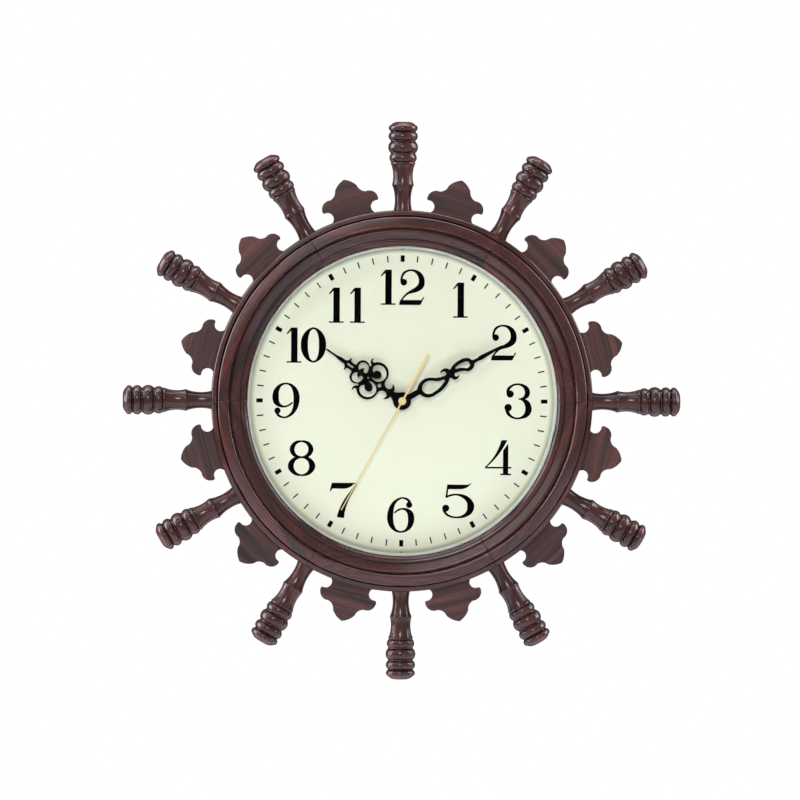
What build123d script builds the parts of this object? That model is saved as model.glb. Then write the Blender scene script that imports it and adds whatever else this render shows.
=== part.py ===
"""Ship's-wheel wall clock with twelve turned handles and a battery quartz movement.

The Y axis is the clock's own axis and the wall is the plane y = 0. The dial looks along -Y, +Z is
twelve o'clock and +X is three o'clock. A depth is a distance from the wall towards the viewer, and a
clock angle is measured in degrees from twelve o'clock, clockwise as the viewer sees it.
All lengths are in millimetres.
"""

import math
import os

from build123d import *

# Wooden ring, from the outside inwards
rim_radius = 190.7
rim_width = 5.5
rim_side_depth = 26.5
rim_front_depth = 30.5
back_round = 1.5
groove_width = 0.7
groove_depth = 3.0
outer_band_width = 12.5
outer_band_edge_depth = 40.2
outer_band_top_depth = 46.0
valley_width = 0.6
middle_band_width = 9.0
middle_band_edge_depth = 42.8
middle_band_crown_depth = 44.2
middle_band_foot_depth = 40.2
bead_width = 7.1
bead_edge_depth = 39.8
bead_crown_depth = 40.9
lip_front_depth = 36.8
middle_crown_share = 0.15
middle_turn_shares = (0.34, 0.88)
bead_crown_share = 0.15
bead_turn_shares = (0.73, 0.57)

# Rebates behind the ring
glass_seat = 4.3
glass_seat_depth = 33.5
dial_ledge = 7.0
dial_ledge_depth = 20.0
cover_ledge = 7.0

# Glazing, dial and boards
glazing_clearance = 0.5
glass_thickness = 2.0
spacer_showing = 2.4
dial_sheet_thickness = 0.5
dial_board_thickness = 3.0
back_board_thickness = 3.0
board_clearance = 0.5
movement_window_clearance = 2.0
movement_window_corner = 4.0

# Ring layout
segment_count = 6
first_joint_angle = 30
handle_count = 12
ornament_count = 12

# Turned handles
handle_length = 88.6
handle_radius = 14.9
handle_depth = 16.0
handle_seat_sink = 0.3
handle_foot_share = 0.624
tenon_radius = 5.0
tenon_length = 15.0
tenon_chamfer = 1.0
glue_clearance = 0.05
bore_extra_length = 0.5
spot_face_clearance = 0.15

# Flat ornaments between the handles
ornament_height = 37.9
ornament_half_width = 28.7
ornament_thickness = 8.0
ornament_depth = 12.0
ornament_foot_half_width = 23.6
tongue_width = 24.0
tongue_thickness = 5.0
tongue_length = 9.0
tongue_root = 2.0

# Wood screws
screw_radius = 1.4
screw_head_radius = 2.9
screw_length = 12.0
screw_point_length = 3.0
screw_hole_clearance = 0.05
screw_slot_width = 0.8
screw_slot_depth = 0.7
countersink_angle = 90

# Keyhole hanger let into the back of the ring at twelve o'clock
hanger_width = 44.0
hanger_height = 12.0
hanger_thickness = 1.6
hanger_sink = 0.2
hanger_corner = 3.0
hanger_clearance = 0.2
hanger_margin = 1.8
keyhole_radius = 3.2
keyhole_slot_radius = 1.6
keyhole_slot_rise = 4.0
keyhole_below_centre = 1.6
nail_pocket_depth = 8.0
nail_pocket_clearance = 0.6
hanger_screw_spacing = 34.0
hanger_screw_radius = 1.3
hanger_screw_head_radius = 2.6
hanger_screw_length = 9.0

# Hands: a length is from the clock's axis to the point
hour_hand_length = 92.5
hour_hand_angle = 304.2
hour_hub_radius = 9.0
minute_hand_length = 115.5
minute_hand_angle = 60.8
minute_hub_radius = 8.0
second_hand_length = 124.7
second_tail_length = 54.0
second_hand_angle = 209.0
second_hub_radius = 3.9
second_hub_width = 1.7
second_tip_width = 1.1
second_tail_width = 2.7
hand_thickness = 0.6
second_hand_thickness = 0.4
collet_wall = 1.0
collet_gap = 0.3
hour_hand_depth = 25.0
minute_hand_depth = 27.4
second_hand_depth = 29.3
tube_past_hand = 0.4

# Movement case
case_top = 20.5
case_front_thickness = 1.0
case_wall = 1.1
case_corner = 2.0
gear_room_back_depth = 3.2
gear_room_back_wall = 1.5
gear_room_below_axis = 17.2
battery_room_back_depth = 1.2
bushing_radius = 4.0
bushing_length = 6.4
bushing_hole_clearance = 0.15
washer_radius = 6.5
washer_thickness = 0.5
nut_across_flats = 11.0
nut_thickness = 2.2
thread_clearance = 0.05

# Battery, an AA cell
battery_radius = 7.25
battery_length = 50.5
battery_nub_radius = 2.75
battery_nub_length = 1.2
battery_edge_round = 0.8
battery_clearance = 0.3
battery_front_gap = 0.3
contact_thickness = 0.4
contact_width = 7.0
contact_height = 10.0
contact_strip_width = 3.0
contact_strip_depth = 11.0
contact_board_lap = 3.0
contact_end_gap = 0.1
contact_spring_room = 2.4
contact_spring_radius = 3.0
contact_spring_tip_radius = 1.6

# Tubes and arbors on the clock's axis
running_clearance = 0.05
seconds_arbor_radius = 0.525
minute_tube_wall = 1.125
hour_tube_wall = 0.75
pivot_radius = 0.4
pivot_length = 1.0
pivot_end_play = 0.1
boss_radius = 1.5
boss_length = 2.0

# Wheel train: teeth, and the distance between the arbors that two gears stand on
tooth_root_share = 0.26
tooth_tip_share = 0.11
addendum_share = 0.8
dedendum_share = 1.15
train_distance = 9.5
rotor_distance = 7.2
motion_distance = 8.75
rotor_pinion_teeth = 12
intermediate_wheel_teeth = 60
intermediate_pinion_teeth = 10
seconds_wheel_teeth = 60
seconds_pinion_teeth = 8
third_wheel_teeth = 60
third_pinion_teeth = 8
minute_wheel_teeth = 64
cannon_pinion_teeth = 12
motion_wheel_teeth = 36
motion_pinion_teeth = 10
hour_wheel_teeth = 40
setting_pinion_teeth = 12
intermediate_angle = 90
third_angle = 270
motion_angle = 0
rotor_angle = 60
setting_angle = 300
wheel_thickness = 0.7
pinion_overlap = 0.3
seconds_wheel_depth = 5.3
third_wheel_depth = 6.9
minute_wheel_depth = 8.6
motion_wheel_depth = 10.2
hour_wheel_depth = 12.1
wheel_gap = 0.3
motion_post_radius = 0.6
setting_arbor_radius = 1.2
setting_knob_radius = 4.0
setting_knob_thickness = 1.6
setting_knob_gap = 0.4
setting_knob_notches = 16
setting_notch_radius = 0.4

# Motor parts
magnet_radius = 2.6
magnet_length = 2.0
magnet_depth = 8.9
stator_thickness = 0.8
stator_depth = 9.5
stator_air_gap = 0.5
stator_neck = 0.6
stator_foot_height = 3.5
coil_radius = 3.3
coil_half_length = 10.0
coil_distance = 7.3
coil_flange_thickness = 0.8
coil_flange_extra = 0.2
coil_clearance = 0.3
core_width = 3.0
core_thickness = 0.8
core_end = 4.0
post_radius = 1.2
board_left = -24.0
board_width = 26.0
board_height = 6.6
board_depth = 12.2
board_thickness = 0.8
chip_radius = 2.4
chip_thickness = 0.7
crystal_radius = 1.0
crystal_length = 6.0
crystal_seat = 0.2

cut_overrun = 1.0

# Sizes that follow from the ones above
rim_inner_radius = rim_radius - rim_width
outer_band_radius = rim_inner_radius - groove_width
outer_band_inner_radius = outer_band_radius - outer_band_width
middle_band_radius = outer_band_inner_radius - valley_width
middle_band_inner_radius = middle_band_radius - middle_band_width
bead_radius = middle_band_inner_radius - valley_width
opening_radius = bead_radius - bead_width
glass_rebate_radius = opening_radius + glass_seat
cavity_radius = glass_rebate_radius + dial_ledge
cover_rebate_radius = cavity_radius + cover_ledge
glass_radius = glass_rebate_radius - glazing_clearance
glass_back_depth = glass_seat_depth - glass_thickness
dial_front_depth = dial_ledge_depth + dial_sheet_thickness
movement_front_depth = dial_ledge_depth - dial_board_thickness
case_inner_front_depth = movement_front_depth - case_front_thickness
handle_seat_radius = rim_radius - handle_seat_sink
dial_screw_radius = (glass_rebate_radius + cavity_radius) / 2
cover_screw_radius = (cavity_radius + cover_rebate_radius) / 2
hanger_radius = cover_rebate_radius + hanger_margin + hanger_height / 2
keyhole_centre_radius = hanger_radius - keyhole_below_centre
handle_foot_radius = handle_radius * handle_foot_share
segment_angle = 360 / segment_count
handle_angle_step = 360 / handle_count
ornament_angle_step = 360 / ornament_count

bushing_end_depth = movement_front_depth + bushing_length
hour_tube_end_depth = hour_hand_depth + hand_thickness + tube_past_hand
minute_tube_end_depth = minute_hand_depth + hand_thickness + tube_past_hand
seconds_arbor_end_depth = second_hand_depth + second_hand_thickness + tube_past_hand
hour_collet_length = hour_hand_depth - bushing_end_depth - collet_gap
minute_collet_length = minute_hand_depth - hour_tube_end_depth - collet_gap
second_collet_length = second_hand_depth - minute_tube_end_depth - collet_gap

minute_tube_bore = seconds_arbor_radius + running_clearance
minute_tube_radius = minute_tube_bore + minute_tube_wall
hour_tube_bore = minute_tube_radius + running_clearance
hour_tube_radius = hour_tube_bore + hour_tube_wall
bushing_bore = hour_tube_radius + running_clearance
pivot_hole_radius = pivot_radius + running_clearance
gear_room_inner_back = gear_room_back_depth + gear_room_back_wall
pivot_back_depth = gear_room_inner_back - pivot_length
boss_back_depth = case_inner_front_depth - boss_length
pivot_front_depth = boss_back_depth + pivot_length

battery_room_half = battery_radius + battery_clearance
battery_room_top = -gear_room_below_axis - case_wall
battery_height = battery_room_top - battery_room_half
battery_room_bottom = battery_room_top - 2 * battery_room_half
case_bottom = battery_room_bottom - case_wall
case_height = case_top - case_bottom

# The case is as wide inside as the battery with its contacts, or as the motor if that reaches further
battery_row_length = battery_length + 2 * contact_thickness + contact_end_gap + contact_spring_room
rotor_across = (
    train_distance * math.sin(math.radians(intermediate_angle))
    + rotor_distance * math.sin(math.radians(rotor_angle))
)
coil_reach = rotor_across + coil_distance + coil_radius + coil_flange_extra + coil_clearance
case_inner_half_width = max(battery_row_length / 2, coil_reach)
case_width = 2 * (case_inner_half_width + case_wall)
battery_depth = case_inner_front_depth - battery_front_gap - battery_radius
battery_right = case_inner_half_width - contact_thickness - contact_end_gap
battery_left = battery_right - battery_length
case_middle = (case_top + case_bottom) / 2

# Modules of the meshing pairs, and where their arbors stand as (x, z)
rotor_module = 2 * rotor_distance / (rotor_pinion_teeth + intermediate_wheel_teeth)
seconds_module = 2 * train_distance / (intermediate_pinion_teeth + seconds_wheel_teeth)
third_module = 2 * train_distance / (seconds_pinion_teeth + third_wheel_teeth)
minute_module = 2 * train_distance / (third_pinion_teeth + minute_wheel_teeth)
cannon_module = 2 * motion_distance / (cannon_pinion_teeth + motion_wheel_teeth)
hour_module = 2 * motion_distance / (motion_pinion_teeth + hour_wheel_teeth)
setting_distance = cannon_module * (motion_wheel_teeth + setting_pinion_teeth) / 2

# Outlines as shares of the size named beside them, in runs: two points are a line, three an arc

# Of the rim's width inwards from its side, and of its rise from the side to the crown
rim_shares = [
    [(0.000, 0.000), (0.089, 0.412), (0.327, 0.691)],
    [(0.327, 0.691), (0.800, 0.980)],
    [(0.800, 0.980), (0.908, 0.994), (1.000, 0.915)],
]

# Of the outer band's width inwards, and of its rise from its outer edge to the crown
outer_band_shares = [
    [(0.000, 0.000), (0.030, 0.226), (0.112, 0.382)],
    [(0.112, 0.382), (0.700, 0.977)],
    [(0.700, 0.977), (0.769, 0.996), (0.830, 0.924)],
    [(0.830, 0.924), (0.920, 0.722)],
    [(0.920, 0.722), (1.000, 0.384)],
]

# Of the handle's length along it, and of its largest radius across it
handle_profile_shares = [
    [(0.000, handle_foot_share), (0.125, 0.534), (0.272, 0.682)],
    [(0.272, 0.682), (0.293, 0.715), (0.314, 0.682)],
    [(0.314, 0.700), (0.400, 0.656), (0.520, 0.792)],
    [(0.520, 0.800), (0.532, 0.826), (0.544, 0.800)],
    [(0.544, 0.800), (0.591, 0.906), (0.644, 0.846)],
    [(0.644, 0.846), (0.709, 1.000), (0.783, 0.826)],
    [(0.783, 0.826), (0.836, 0.980), (0.891, 0.872)],
    [(0.891, 0.872), (0.931, 0.975), (0.966, 0.805)],
    [(0.966, 0.805), (0.990, 0.626), (1.000, 0.403)],
]

# Of the ornament's half width across it, and of its height above the rim
ornament_shares = [
    [(0.000, 1.000), (0.233, 0.905), (0.390, 0.773)],
    [(0.390, 0.773), (0.468, 0.644), (0.645, 0.565)],
    [(0.645, 0.565), (0.899, 0.509), (1.000, 0.351)],
    [(1.000, 0.351), (0.997, 0.296), (0.958, 0.261)],
    [(0.958, 0.261), (0.878, 0.266)],
]
notch_side_shares = (0.676, 0.124)

# Of the hour hand's length, across it and along it, for its right half
hour_outline_shares = [
    [(0.061, 0.076), (0.043, 0.106), (0.032, 0.133)],
    [(0.032, 0.133), (0.071, 0.147), (0.095, 0.181)],
    [(0.095, 0.181), (0.088, 0.188)],
    [(0.088, 0.188), (0.055, 0.172), (0.025, 0.197)],
    [(0.025, 0.197), (0.039, 0.253), (0.089, 0.270)],
    [(0.089, 0.270), (0.219, 0.383), (0.175, 0.480)],
    [(0.175, 0.480), (0.173, 0.502), (0.198, 0.510)],
    [(0.198, 0.510), (0.204, 0.518), (0.197, 0.524)],
    [(0.197, 0.524), (0.162, 0.523), (0.136, 0.494)],
    [(0.136, 0.494), (0.121, 0.492), (0.115, 0.506)],
    [(0.115, 0.506), (0.134, 0.579), (0.046, 0.629)],
    [(0.046, 0.629), (0.039, 0.658), (0.046, 0.697)],
    [(0.046, 0.697), (0.057, 0.704), (0.068, 0.702)],
    [(0.068, 0.702), (0.074, 0.710), (0.067, 0.720)],
    [(0.067, 0.720), (0.036, 0.730), (0.021, 0.765)],
    [(0.021, 0.765), (0.020, 0.811), (0.011, 0.865)],
    [(0.011, 0.865), (0.010, 0.984)],
    [(0.010, 0.984), (0.000, 1.000)],
]
hour_scroll_shares = [
    [(0.023, 0.413), (0.014, 0.373), (0.039, 0.316)],
    [(0.039, 0.316), (0.102, 0.290), (0.165, 0.322)],
    [(0.165, 0.322), (0.190, 0.384), (0.156, 0.454)],
    [(0.156, 0.454), (0.115, 0.461), (0.085, 0.428)],
    [(0.085, 0.428), (0.102, 0.425)],
    [(0.102, 0.425), (0.126, 0.377), (0.089, 0.335)],
    [(0.089, 0.335), (0.045, 0.361), (0.031, 0.413)],
    [(0.031, 0.413), (0.023, 0.413)],
]
hour_upper_scroll_shares = [
    [(0.016, 0.570), (0.068, 0.605), (0.117, 0.554)],
    [(0.117, 0.554), (0.099, 0.506), (0.058, 0.490)],
    [(0.058, 0.490), (0.026, 0.497), (0.028, 0.524)],
    [(0.028, 0.524), (0.043, 0.532), (0.062, 0.534)],
    [(0.062, 0.534), (0.050, 0.554), (0.016, 0.570)],
]
hour_diamond_shares = [(0.000, 0.324), (0.024, 0.296), (0.000, 0.274), (-0.024, 0.296)]
hour_pin_hole_shares = (0.445, 0.011)
hour_slot_shares = (0.638, 0.718, 0.010)

# Of the minute hand's length, across it and along it, once round from the left of its hub
minute_outline_shares = [
    [(-0.026, 0.050), (-0.026, 0.162)],
    [(-0.026, 0.162), (-0.066, 0.214), (-0.075, 0.268)],
    [(-0.075, 0.268), (-0.066, 0.300), (-0.039, 0.346)],
    [(-0.039, 0.346), (-0.021, 0.394), (-0.015, 0.433)],
    [(-0.015, 0.433), (-0.034, 0.451), (-0.052, 0.435)],
    [(-0.052, 0.435), (-0.053, 0.424), (-0.050, 0.412)],
    [(-0.050, 0.412), (-0.057, 0.408), (-0.065, 0.415)],
    [(-0.065, 0.415), (-0.072, 0.445), (-0.059, 0.479)],
    [(-0.059, 0.479), (-0.039, 0.495)],
    [(-0.039, 0.495), (-0.066, 0.558), (-0.070, 0.606)],
    [(-0.070, 0.606), (-0.062, 0.662), (-0.039, 0.693)],
    [(-0.039, 0.693), (-0.026, 0.696), (-0.019, 0.703)],
    [(-0.019, 0.703), (-0.014, 0.728), (-0.020, 0.779)],
    [(-0.020, 0.779), (-0.008, 0.980)],
    [(-0.008, 0.980), (0.000, 1.000)],
    [(0.000, 1.000), (0.008, 0.980)],
    [(0.008, 0.980), (0.021, 0.779)],
    [(0.021, 0.779), (0.015, 0.728), (0.019, 0.703)],
    [(0.019, 0.703), (0.042, 0.684), (0.053, 0.650)],
    [(0.053, 0.650), (0.053, 0.632), (0.045, 0.616)],
    [(0.045, 0.616), (0.019, 0.570), (0.011, 0.531)],
    [(0.011, 0.531), (0.025, 0.506), (0.042, 0.522)],
    [(0.042, 0.522), (0.038, 0.540)],
    [(0.038, 0.540), (0.042, 0.543), (0.046, 0.540)],
    [(0.046, 0.540), (0.061, 0.513), (0.048, 0.476)],
    [(0.048, 0.476), (0.032, 0.470), (0.024, 0.459)],
    [(0.024, 0.459), (0.071, 0.390), (0.092, 0.290)],
    [(0.092, 0.290), (0.089, 0.231), (0.073, 0.198)],
    [(0.073, 0.198), (0.050, 0.177), (0.023, 0.162)],
    [(0.023, 0.162), (0.026, 0.050)],
    [(0.026, 0.050), (-0.026, 0.050)],
]
minute_lower_loop_shares = [
    [(0.004, 0.199), (0.046, 0.217), (0.064, 0.272)],
    [(0.064, 0.272), (0.057, 0.329), (0.029, 0.398)],
    [(0.029, 0.398), (0.019, 0.409), (0.011, 0.401)],
    [(0.011, 0.401), (0.002, 0.364), (-0.023, 0.320)],
    [(-0.023, 0.320), (-0.040, 0.291), (-0.045, 0.264)],
    [(-0.045, 0.264), (-0.034, 0.222), (0.004, 0.199)],
]
minute_upper_loop_shares = [
    [(-0.009, 0.668), (0.015, 0.660), (0.022, 0.641)],
    [(0.022, 0.641), (0.020, 0.628), (0.006, 0.608)],
    [(0.006, 0.608), (-0.009, 0.578), (-0.017, 0.547)],
    [(-0.017, 0.547), (-0.024, 0.539), (-0.031, 0.545)],
    [(-0.031, 0.545), (-0.040, 0.589), (-0.033, 0.648)],
    [(-0.033, 0.648), (-0.024, 0.662), (-0.009, 0.668)],
]


def clock_direction(angle):
    """Unit vector in the wall plane, at a clock angle."""
    turn = math.radians(angle)
    return Vector(math.sin(turn), 0, math.cos(turn))


def section_plane(angle, depth=0):
    """Cuts the clock through its axis: local x runs outwards, local y runs from the wall to the viewer."""
    outwards = clock_direction(angle)
    return Plane(origin=(0, -depth, 0), x_dir=outwards, z_dir=outwards.cross(Vector(0, -1, 0)))


def face_plane(depth, angle=0, centre=(0, 0)):
    """Parallel to the wall: local y points at a clock angle, and material grows towards the viewer."""
    origin = (centre[0], -depth, centre[1])
    return Plane(origin=origin, x_dir=clock_direction(angle + 90), z_dir=(0, -1, 0))


def back_plane(depth=0):
    """Parallel to the wall and seen from behind, so that holes sink towards the viewer."""
    return Plane(origin=(0, -depth, 0), x_dir=(1, 0, 0), z_dir=(0, 1, 0))


def radial_plane(angle, depth, radius):
    """Square to a radius of the clock: local x runs clockwise, and material grows outwards."""
    outwards = clock_direction(angle)
    origin = (outwards.X * radius, -depth, outwards.Z * radius)
    return Plane(origin=origin, x_dir=clock_direction(angle + 90), z_dir=outwards)


def beside(centre, angle, distance):
    """Point (x, z) at a clock angle and a distance from another."""
    direction = clock_direction(angle)
    return (centre[0] + direction.X * distance, centre[1] + direction.Z * distance)


def draw_runs(runs, across, along, start=0, side=0):
    """Add each run of an outline to the open line: a line between two points, an arc through three."""
    for run in runs:
        points = [(side + share[0] * across, start + share[1] * along) for share in run]
        if len(points) == 2:
            Line(*points)
        else:
            ThreePointArc(*points)


def save(part, name):
    """Label a finished piece and write it."""
    part.label = name
    export_step(part, f"parts/{name}.step")


def ring_section(plane):
    """Cross section of the ring: turned bands in front, three rebates behind."""
    crown_radius = middle_band_radius - middle_band_width * middle_crown_share
    middle_fall = middle_band_crown_depth - middle_band_foot_depth
    turn_radius = middle_band_radius - middle_band_width * middle_turn_shares[0]
    turn_depth = middle_band_foot_depth + middle_fall * middle_turn_shares[1]
    bead_crown_radius = bead_radius - bead_width * bead_crown_share
    bead_fall = bead_crown_depth - lip_front_depth
    bead_turn_radius = bead_radius - bead_width * bead_turn_shares[0]
    bead_turn_depth = lip_front_depth + bead_fall * bead_turn_shares[1]
    rim_rise = rim_front_depth - rim_side_depth
    outer_band_rise = outer_band_top_depth - outer_band_edge_depth
    outer_band_foot_depth = outer_band_edge_depth + outer_band_rise * outer_band_shares[-1][-1][1]
    rim_foot_depth = rim_side_depth + rim_rise * rim_shares[-1][-1][1]
    with BuildSketch(plane) as section:
        with BuildLine():
            Line((cover_rebate_radius, 0), (rim_radius - back_round, 0))
            TangentArc((rim_radius - back_round, 0), (rim_radius, back_round), tangent=(1, 0))
            Line((rim_radius, back_round), (rim_radius, rim_side_depth))
            draw_runs(rim_shares, -rim_width, rim_rise, rim_side_depth, rim_radius)
            Polyline(
                (rim_inner_radius, rim_foot_depth),
                (rim_inner_radius, rim_front_depth - groove_depth),
                (outer_band_radius, rim_front_depth - groove_depth),
                (outer_band_radius, outer_band_edge_depth),
            )
            draw_runs(
                outer_band_shares,
                -outer_band_width,
                outer_band_rise,
                outer_band_edge_depth,
                outer_band_radius,
            )
            Polyline(
                (outer_band_inner_radius, outer_band_foot_depth),
                (outer_band_inner_radius, middle_band_edge_depth - valley_width),
                (middle_band_radius, middle_band_edge_depth - valley_width),
                (middle_band_radius, middle_band_edge_depth),
            )
            TangentArc(
                (middle_band_radius, middle_band_edge_depth),
                (crown_radius, middle_band_crown_depth),
                tangent=(0, 1),
            )
            fall = TangentArc(
                (crown_radius, middle_band_crown_depth),
                (turn_radius, turn_depth),
                tangent=(-1, 0),
            )
            TangentArc(
                (turn_radius, turn_depth),
                (middle_band_inner_radius, middle_band_foot_depth),
                tangent=fall % 1,
            )
            Polyline(
                (middle_band_inner_radius, middle_band_foot_depth),
                (middle_band_inner_radius, bead_edge_depth - valley_width),
                (bead_radius, bead_edge_depth - valley_width),
                (bead_radius, bead_edge_depth),
            )
            TangentArc(
                (bead_radius, bead_edge_depth),
                (bead_crown_radius, bead_crown_depth),
                tangent=(0, 1),
            )
            drop = TangentArc(
                (bead_crown_radius, bead_crown_depth),
                (bead_turn_radius, bead_turn_depth),
                tangent=(-1, 0),
            )
            TangentArc(
                (bead_turn_radius, bead_turn_depth),
                (opening_radius, lip_front_depth),
                tangent=drop % 1,
            )
            Polyline(
                (opening_radius, lip_front_depth),
                (opening_radius, glass_seat_depth),
                (glass_rebate_radius, glass_seat_depth),
                (glass_rebate_radius, dial_ledge_depth),
                (cavity_radius, dial_ledge_depth),
                (cavity_radius, back_board_thickness),
                (cover_rebate_radius, back_board_thickness),
                (cover_rebate_radius, 0),
            )
        make_face()
    return section.sketch


def toothed_disc(plane, teeth, module, centre, tooth_angle):
    """Gear outline about a point (x, z), with the middle of one tooth at a clock angle."""
    pitch_radius = module * teeth / 2
    tip_radius = pitch_radius + addendum_share * module
    root_radius = pitch_radius - dedendum_share * module
    pitch_angle = 360 / teeth
    corner_shares = (
        (-tooth_root_share, root_radius),
        (-tooth_tip_share, tip_radius),
        (tooth_tip_share, tip_radius),
        (tooth_root_share, root_radius),
    )
    corners = []
    for tooth in range(teeth):
        for share, radius in corner_shares:
            corners.append(beside(centre, tooth_angle + (tooth + share) * pitch_angle, radius))
    with BuildSketch(plane) as outline:
        with BuildLine():
            Polyline(*corners, close=True)
        make_face()
    return outline.sketch


def facing(angle, teeth):
    """Clock angle of a tooth whose neighbouring gap lies at the given angle."""
    return angle + 180 / teeth


def wood_screws(places, depth, radius, head_radius, length):
    """Countersunk screws at points (x, z), with their heads at one depth, driven towards the viewer."""
    head_length = head_radius - radius
    with BuildPart() as screws:
        for place in places:
            origin = (place[0], -depth, place[1])
            with BuildSketch(Plane(origin=origin, x_dir=(1, 0, 0), z_dir=(0, 0, -1))):
                with BuildLine():
                    Polyline(
                        (0, 0),
                        (head_radius, 0),
                        (radius, head_length),
                        (radius, length - screw_point_length),
                        (0, length),
                        close=True,
                    )
                make_face()
            revolve(axis=Axis(origin, (0, -1, 0)))
            with BuildSketch(face_plane(depth, centre=place)):
                Rectangle(2 * head_radius + cut_overrun, screw_slot_width)
            extrude(amount=screw_slot_depth, mode=Mode.SUBTRACT)
    return screws.part


os.makedirs("parts", exist_ok=True)
clock_axis = Axis((0, 0, 0), (0, 1, 0))
segment_middles = [
    first_joint_angle + (segment + 1 / 2) * segment_angle for segment in range(segment_count)
]

# Bores, mortises, screw holes and the hanger's recess, all cut into the ring
with BuildPart() as ring_cuts:
    for handle in range(handle_count):
        seat_plane = radial_plane(handle * handle_angle_step, handle_depth, handle_seat_radius)
        with BuildSketch(seat_plane):
            Circle(tenon_radius + glue_clearance)
        extrude(amount=-tenon_length - bore_extra_length)
        with BuildSketch(seat_plane):
            Circle(handle_foot_radius + spot_face_clearance)
        extrude(amount=handle_seat_sink + cut_overrun)
    for ornament in range(ornament_count):
        angle = (ornament + 1 / 2) * ornament_angle_step
        with BuildSketch(radial_plane(angle, ornament_depth, rim_radius + cut_overrun)):
            Rectangle(tongue_width + 2 * glue_clearance, tongue_thickness + 2 * glue_clearance)
        extrude(amount=-tongue_length - bore_extra_length - cut_overrun)
    for angle in segment_middles:
        for radius, depth in (
            (cover_screw_radius, 0),
            (dial_screw_radius, movement_front_depth),
        ):
            with BuildSketch(face_plane(depth, centre=beside((0, 0), angle, radius))):
                Circle(screw_radius + screw_hole_clearance)
            extrude(amount=screw_length + screw_hole_clearance)
    with BuildSketch(face_plane(-cut_overrun, centre=(0, hanger_radius))):
        RectangleRounded(
            hanger_width + 2 * hanger_clearance,
            hanger_height + 2 * hanger_clearance,
            hanger_corner + hanger_clearance,
        )
    extrude(amount=cut_overrun + hanger_sink + hanger_thickness)
    with BuildSketch(face_plane(0, centre=(0, keyhole_centre_radius + keyhole_slot_rise / 2))):
        SlotCenterToCenter(
            keyhole_slot_rise,
            2 * (keyhole_radius + nail_pocket_clearance),
            rotation=90,
        )
    extrude(amount=nail_pocket_depth)
    for side in (-1, 1):
        hole_centre = (side * hanger_screw_spacing / 2, hanger_radius)
        with BuildSketch(face_plane(0, centre=hole_centre)):
            Circle(hanger_screw_radius + screw_hole_clearance)
        extrude(amount=hanger_sink + hanger_screw_length + screw_hole_clearance)

# The ring is built up from segments, and each joint runs through the middle of a handle's bore
for segment in range(segment_count):
    joint_plane = section_plane(first_joint_angle + segment * segment_angle)
    with BuildPart() as ring_segment:
        revolve(ring_section(joint_plane), axis=clock_axis, revolution_arc=segment_angle)
        add(ring_cuts.part, mode=Mode.SUBTRACT)
    save(ring_segment.part, f"ring_segment_{segment + 1}")

# Turned handles, each with a tenon that is glued into the ring
for handle in range(handle_count):
    turning_plane = section_plane(handle * handle_angle_step, handle_depth)
    turning_axis = Axis(turning_plane.origin, turning_plane.x_dir)
    tenon_end = handle_seat_radius - tenon_length
    with BuildPart() as turned_handle:
        with BuildSketch(turning_plane):
            with BuildLine():
                Polyline(
                    (handle_seat_radius + handle_length, 0),
                    (tenon_end, 0),
                    (tenon_end, tenon_radius - tenon_chamfer),
                    (tenon_end + tenon_chamfer, tenon_radius),
                    (handle_seat_radius, tenon_radius),
                    (handle_seat_radius, handle_foot_radius),
                )
                for first, second in zip(handle_profile_shares, handle_profile_shares[1:]):
                    if first[-1] != second[0]:
                        Line(
                            (
                                handle_seat_radius + first[-1][0] * handle_length,
                                first[-1][1] * handle_radius,
                            ),
                            (
                                handle_seat_radius + second[0][0] * handle_length,
                                second[0][1] * handle_radius,
                            ),
                        )
                for run in handle_profile_shares:
                    ThreePointArc(
                        *[
                            (handle_seat_radius + along * handle_length, across * handle_radius)
                            for along, across in run
                        ]
                    )
                Line(
                    (handle_seat_radius + handle_length, handle_profile_shares[-1][-1][1] * handle_radius),
                    (handle_seat_radius + handle_length, 0),
                )
            make_face()
        revolve(axis=turning_axis)
    save(turned_handle.part, f"handle_{handle or handle_count:02d}")

# Flat boards between the handles, each with a tongue that is glued into the rim
foot_rise = math.sqrt(rim_radius**2 - ornament_foot_half_width**2)
foot_middle_rise = math.sqrt(rim_radius**2 - (ornament_foot_half_width / 2) ** 2)
for ornament in range(ornament_count):
    angle = (ornament + 1 / 2) * ornament_angle_step
    with BuildPart() as board:
        with BuildSketch(face_plane(ornament_depth - ornament_thickness / 2, angle)):
            with BuildLine():
                draw_runs(ornament_shares, ornament_half_width, ornament_height, rim_radius)
                ThreePointArc(
                    (
                        ornament_shares[-1][-1][0] * ornament_half_width,
                        rim_radius + ornament_shares[-1][-1][1] * ornament_height,
                    ),
                    (
                        notch_side_shares[0] * ornament_half_width,
                        rim_radius + notch_side_shares[1] * ornament_height,
                    ),
                    (ornament_foot_half_width, foot_rise),
                )
                ThreePointArc(
                    (ornament_foot_half_width, foot_rise),
                    (ornament_foot_half_width / 2, foot_middle_rise),
                    (0, rim_radius),
                )
                Line((0, rim_radius), (0, rim_radius + ornament_height))
            make_face()
            mirror(about=Plane.YZ)
        extrude(amount=ornament_thickness)
        with BuildSketch(face_plane(ornament_depth - tongue_thickness / 2, angle)):
            with Locations((0, rim_radius - tongue_length)):
                Rectangle(tongue_width, tongue_length + tongue_root, align=(Align.CENTER, Align.MIN))
        extrude(amount=tongue_thickness)
    save(board.part, f"ornament_{ornament + 1:02d}")

# Glass, spacer, dial and the board that carries the dial and the movement
with BuildPart() as glass:
    with BuildSketch(face_plane(glass_back_depth)):
        Circle(glass_radius)
    extrude(amount=glass_thickness)
save(glass.part, "glass")

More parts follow.
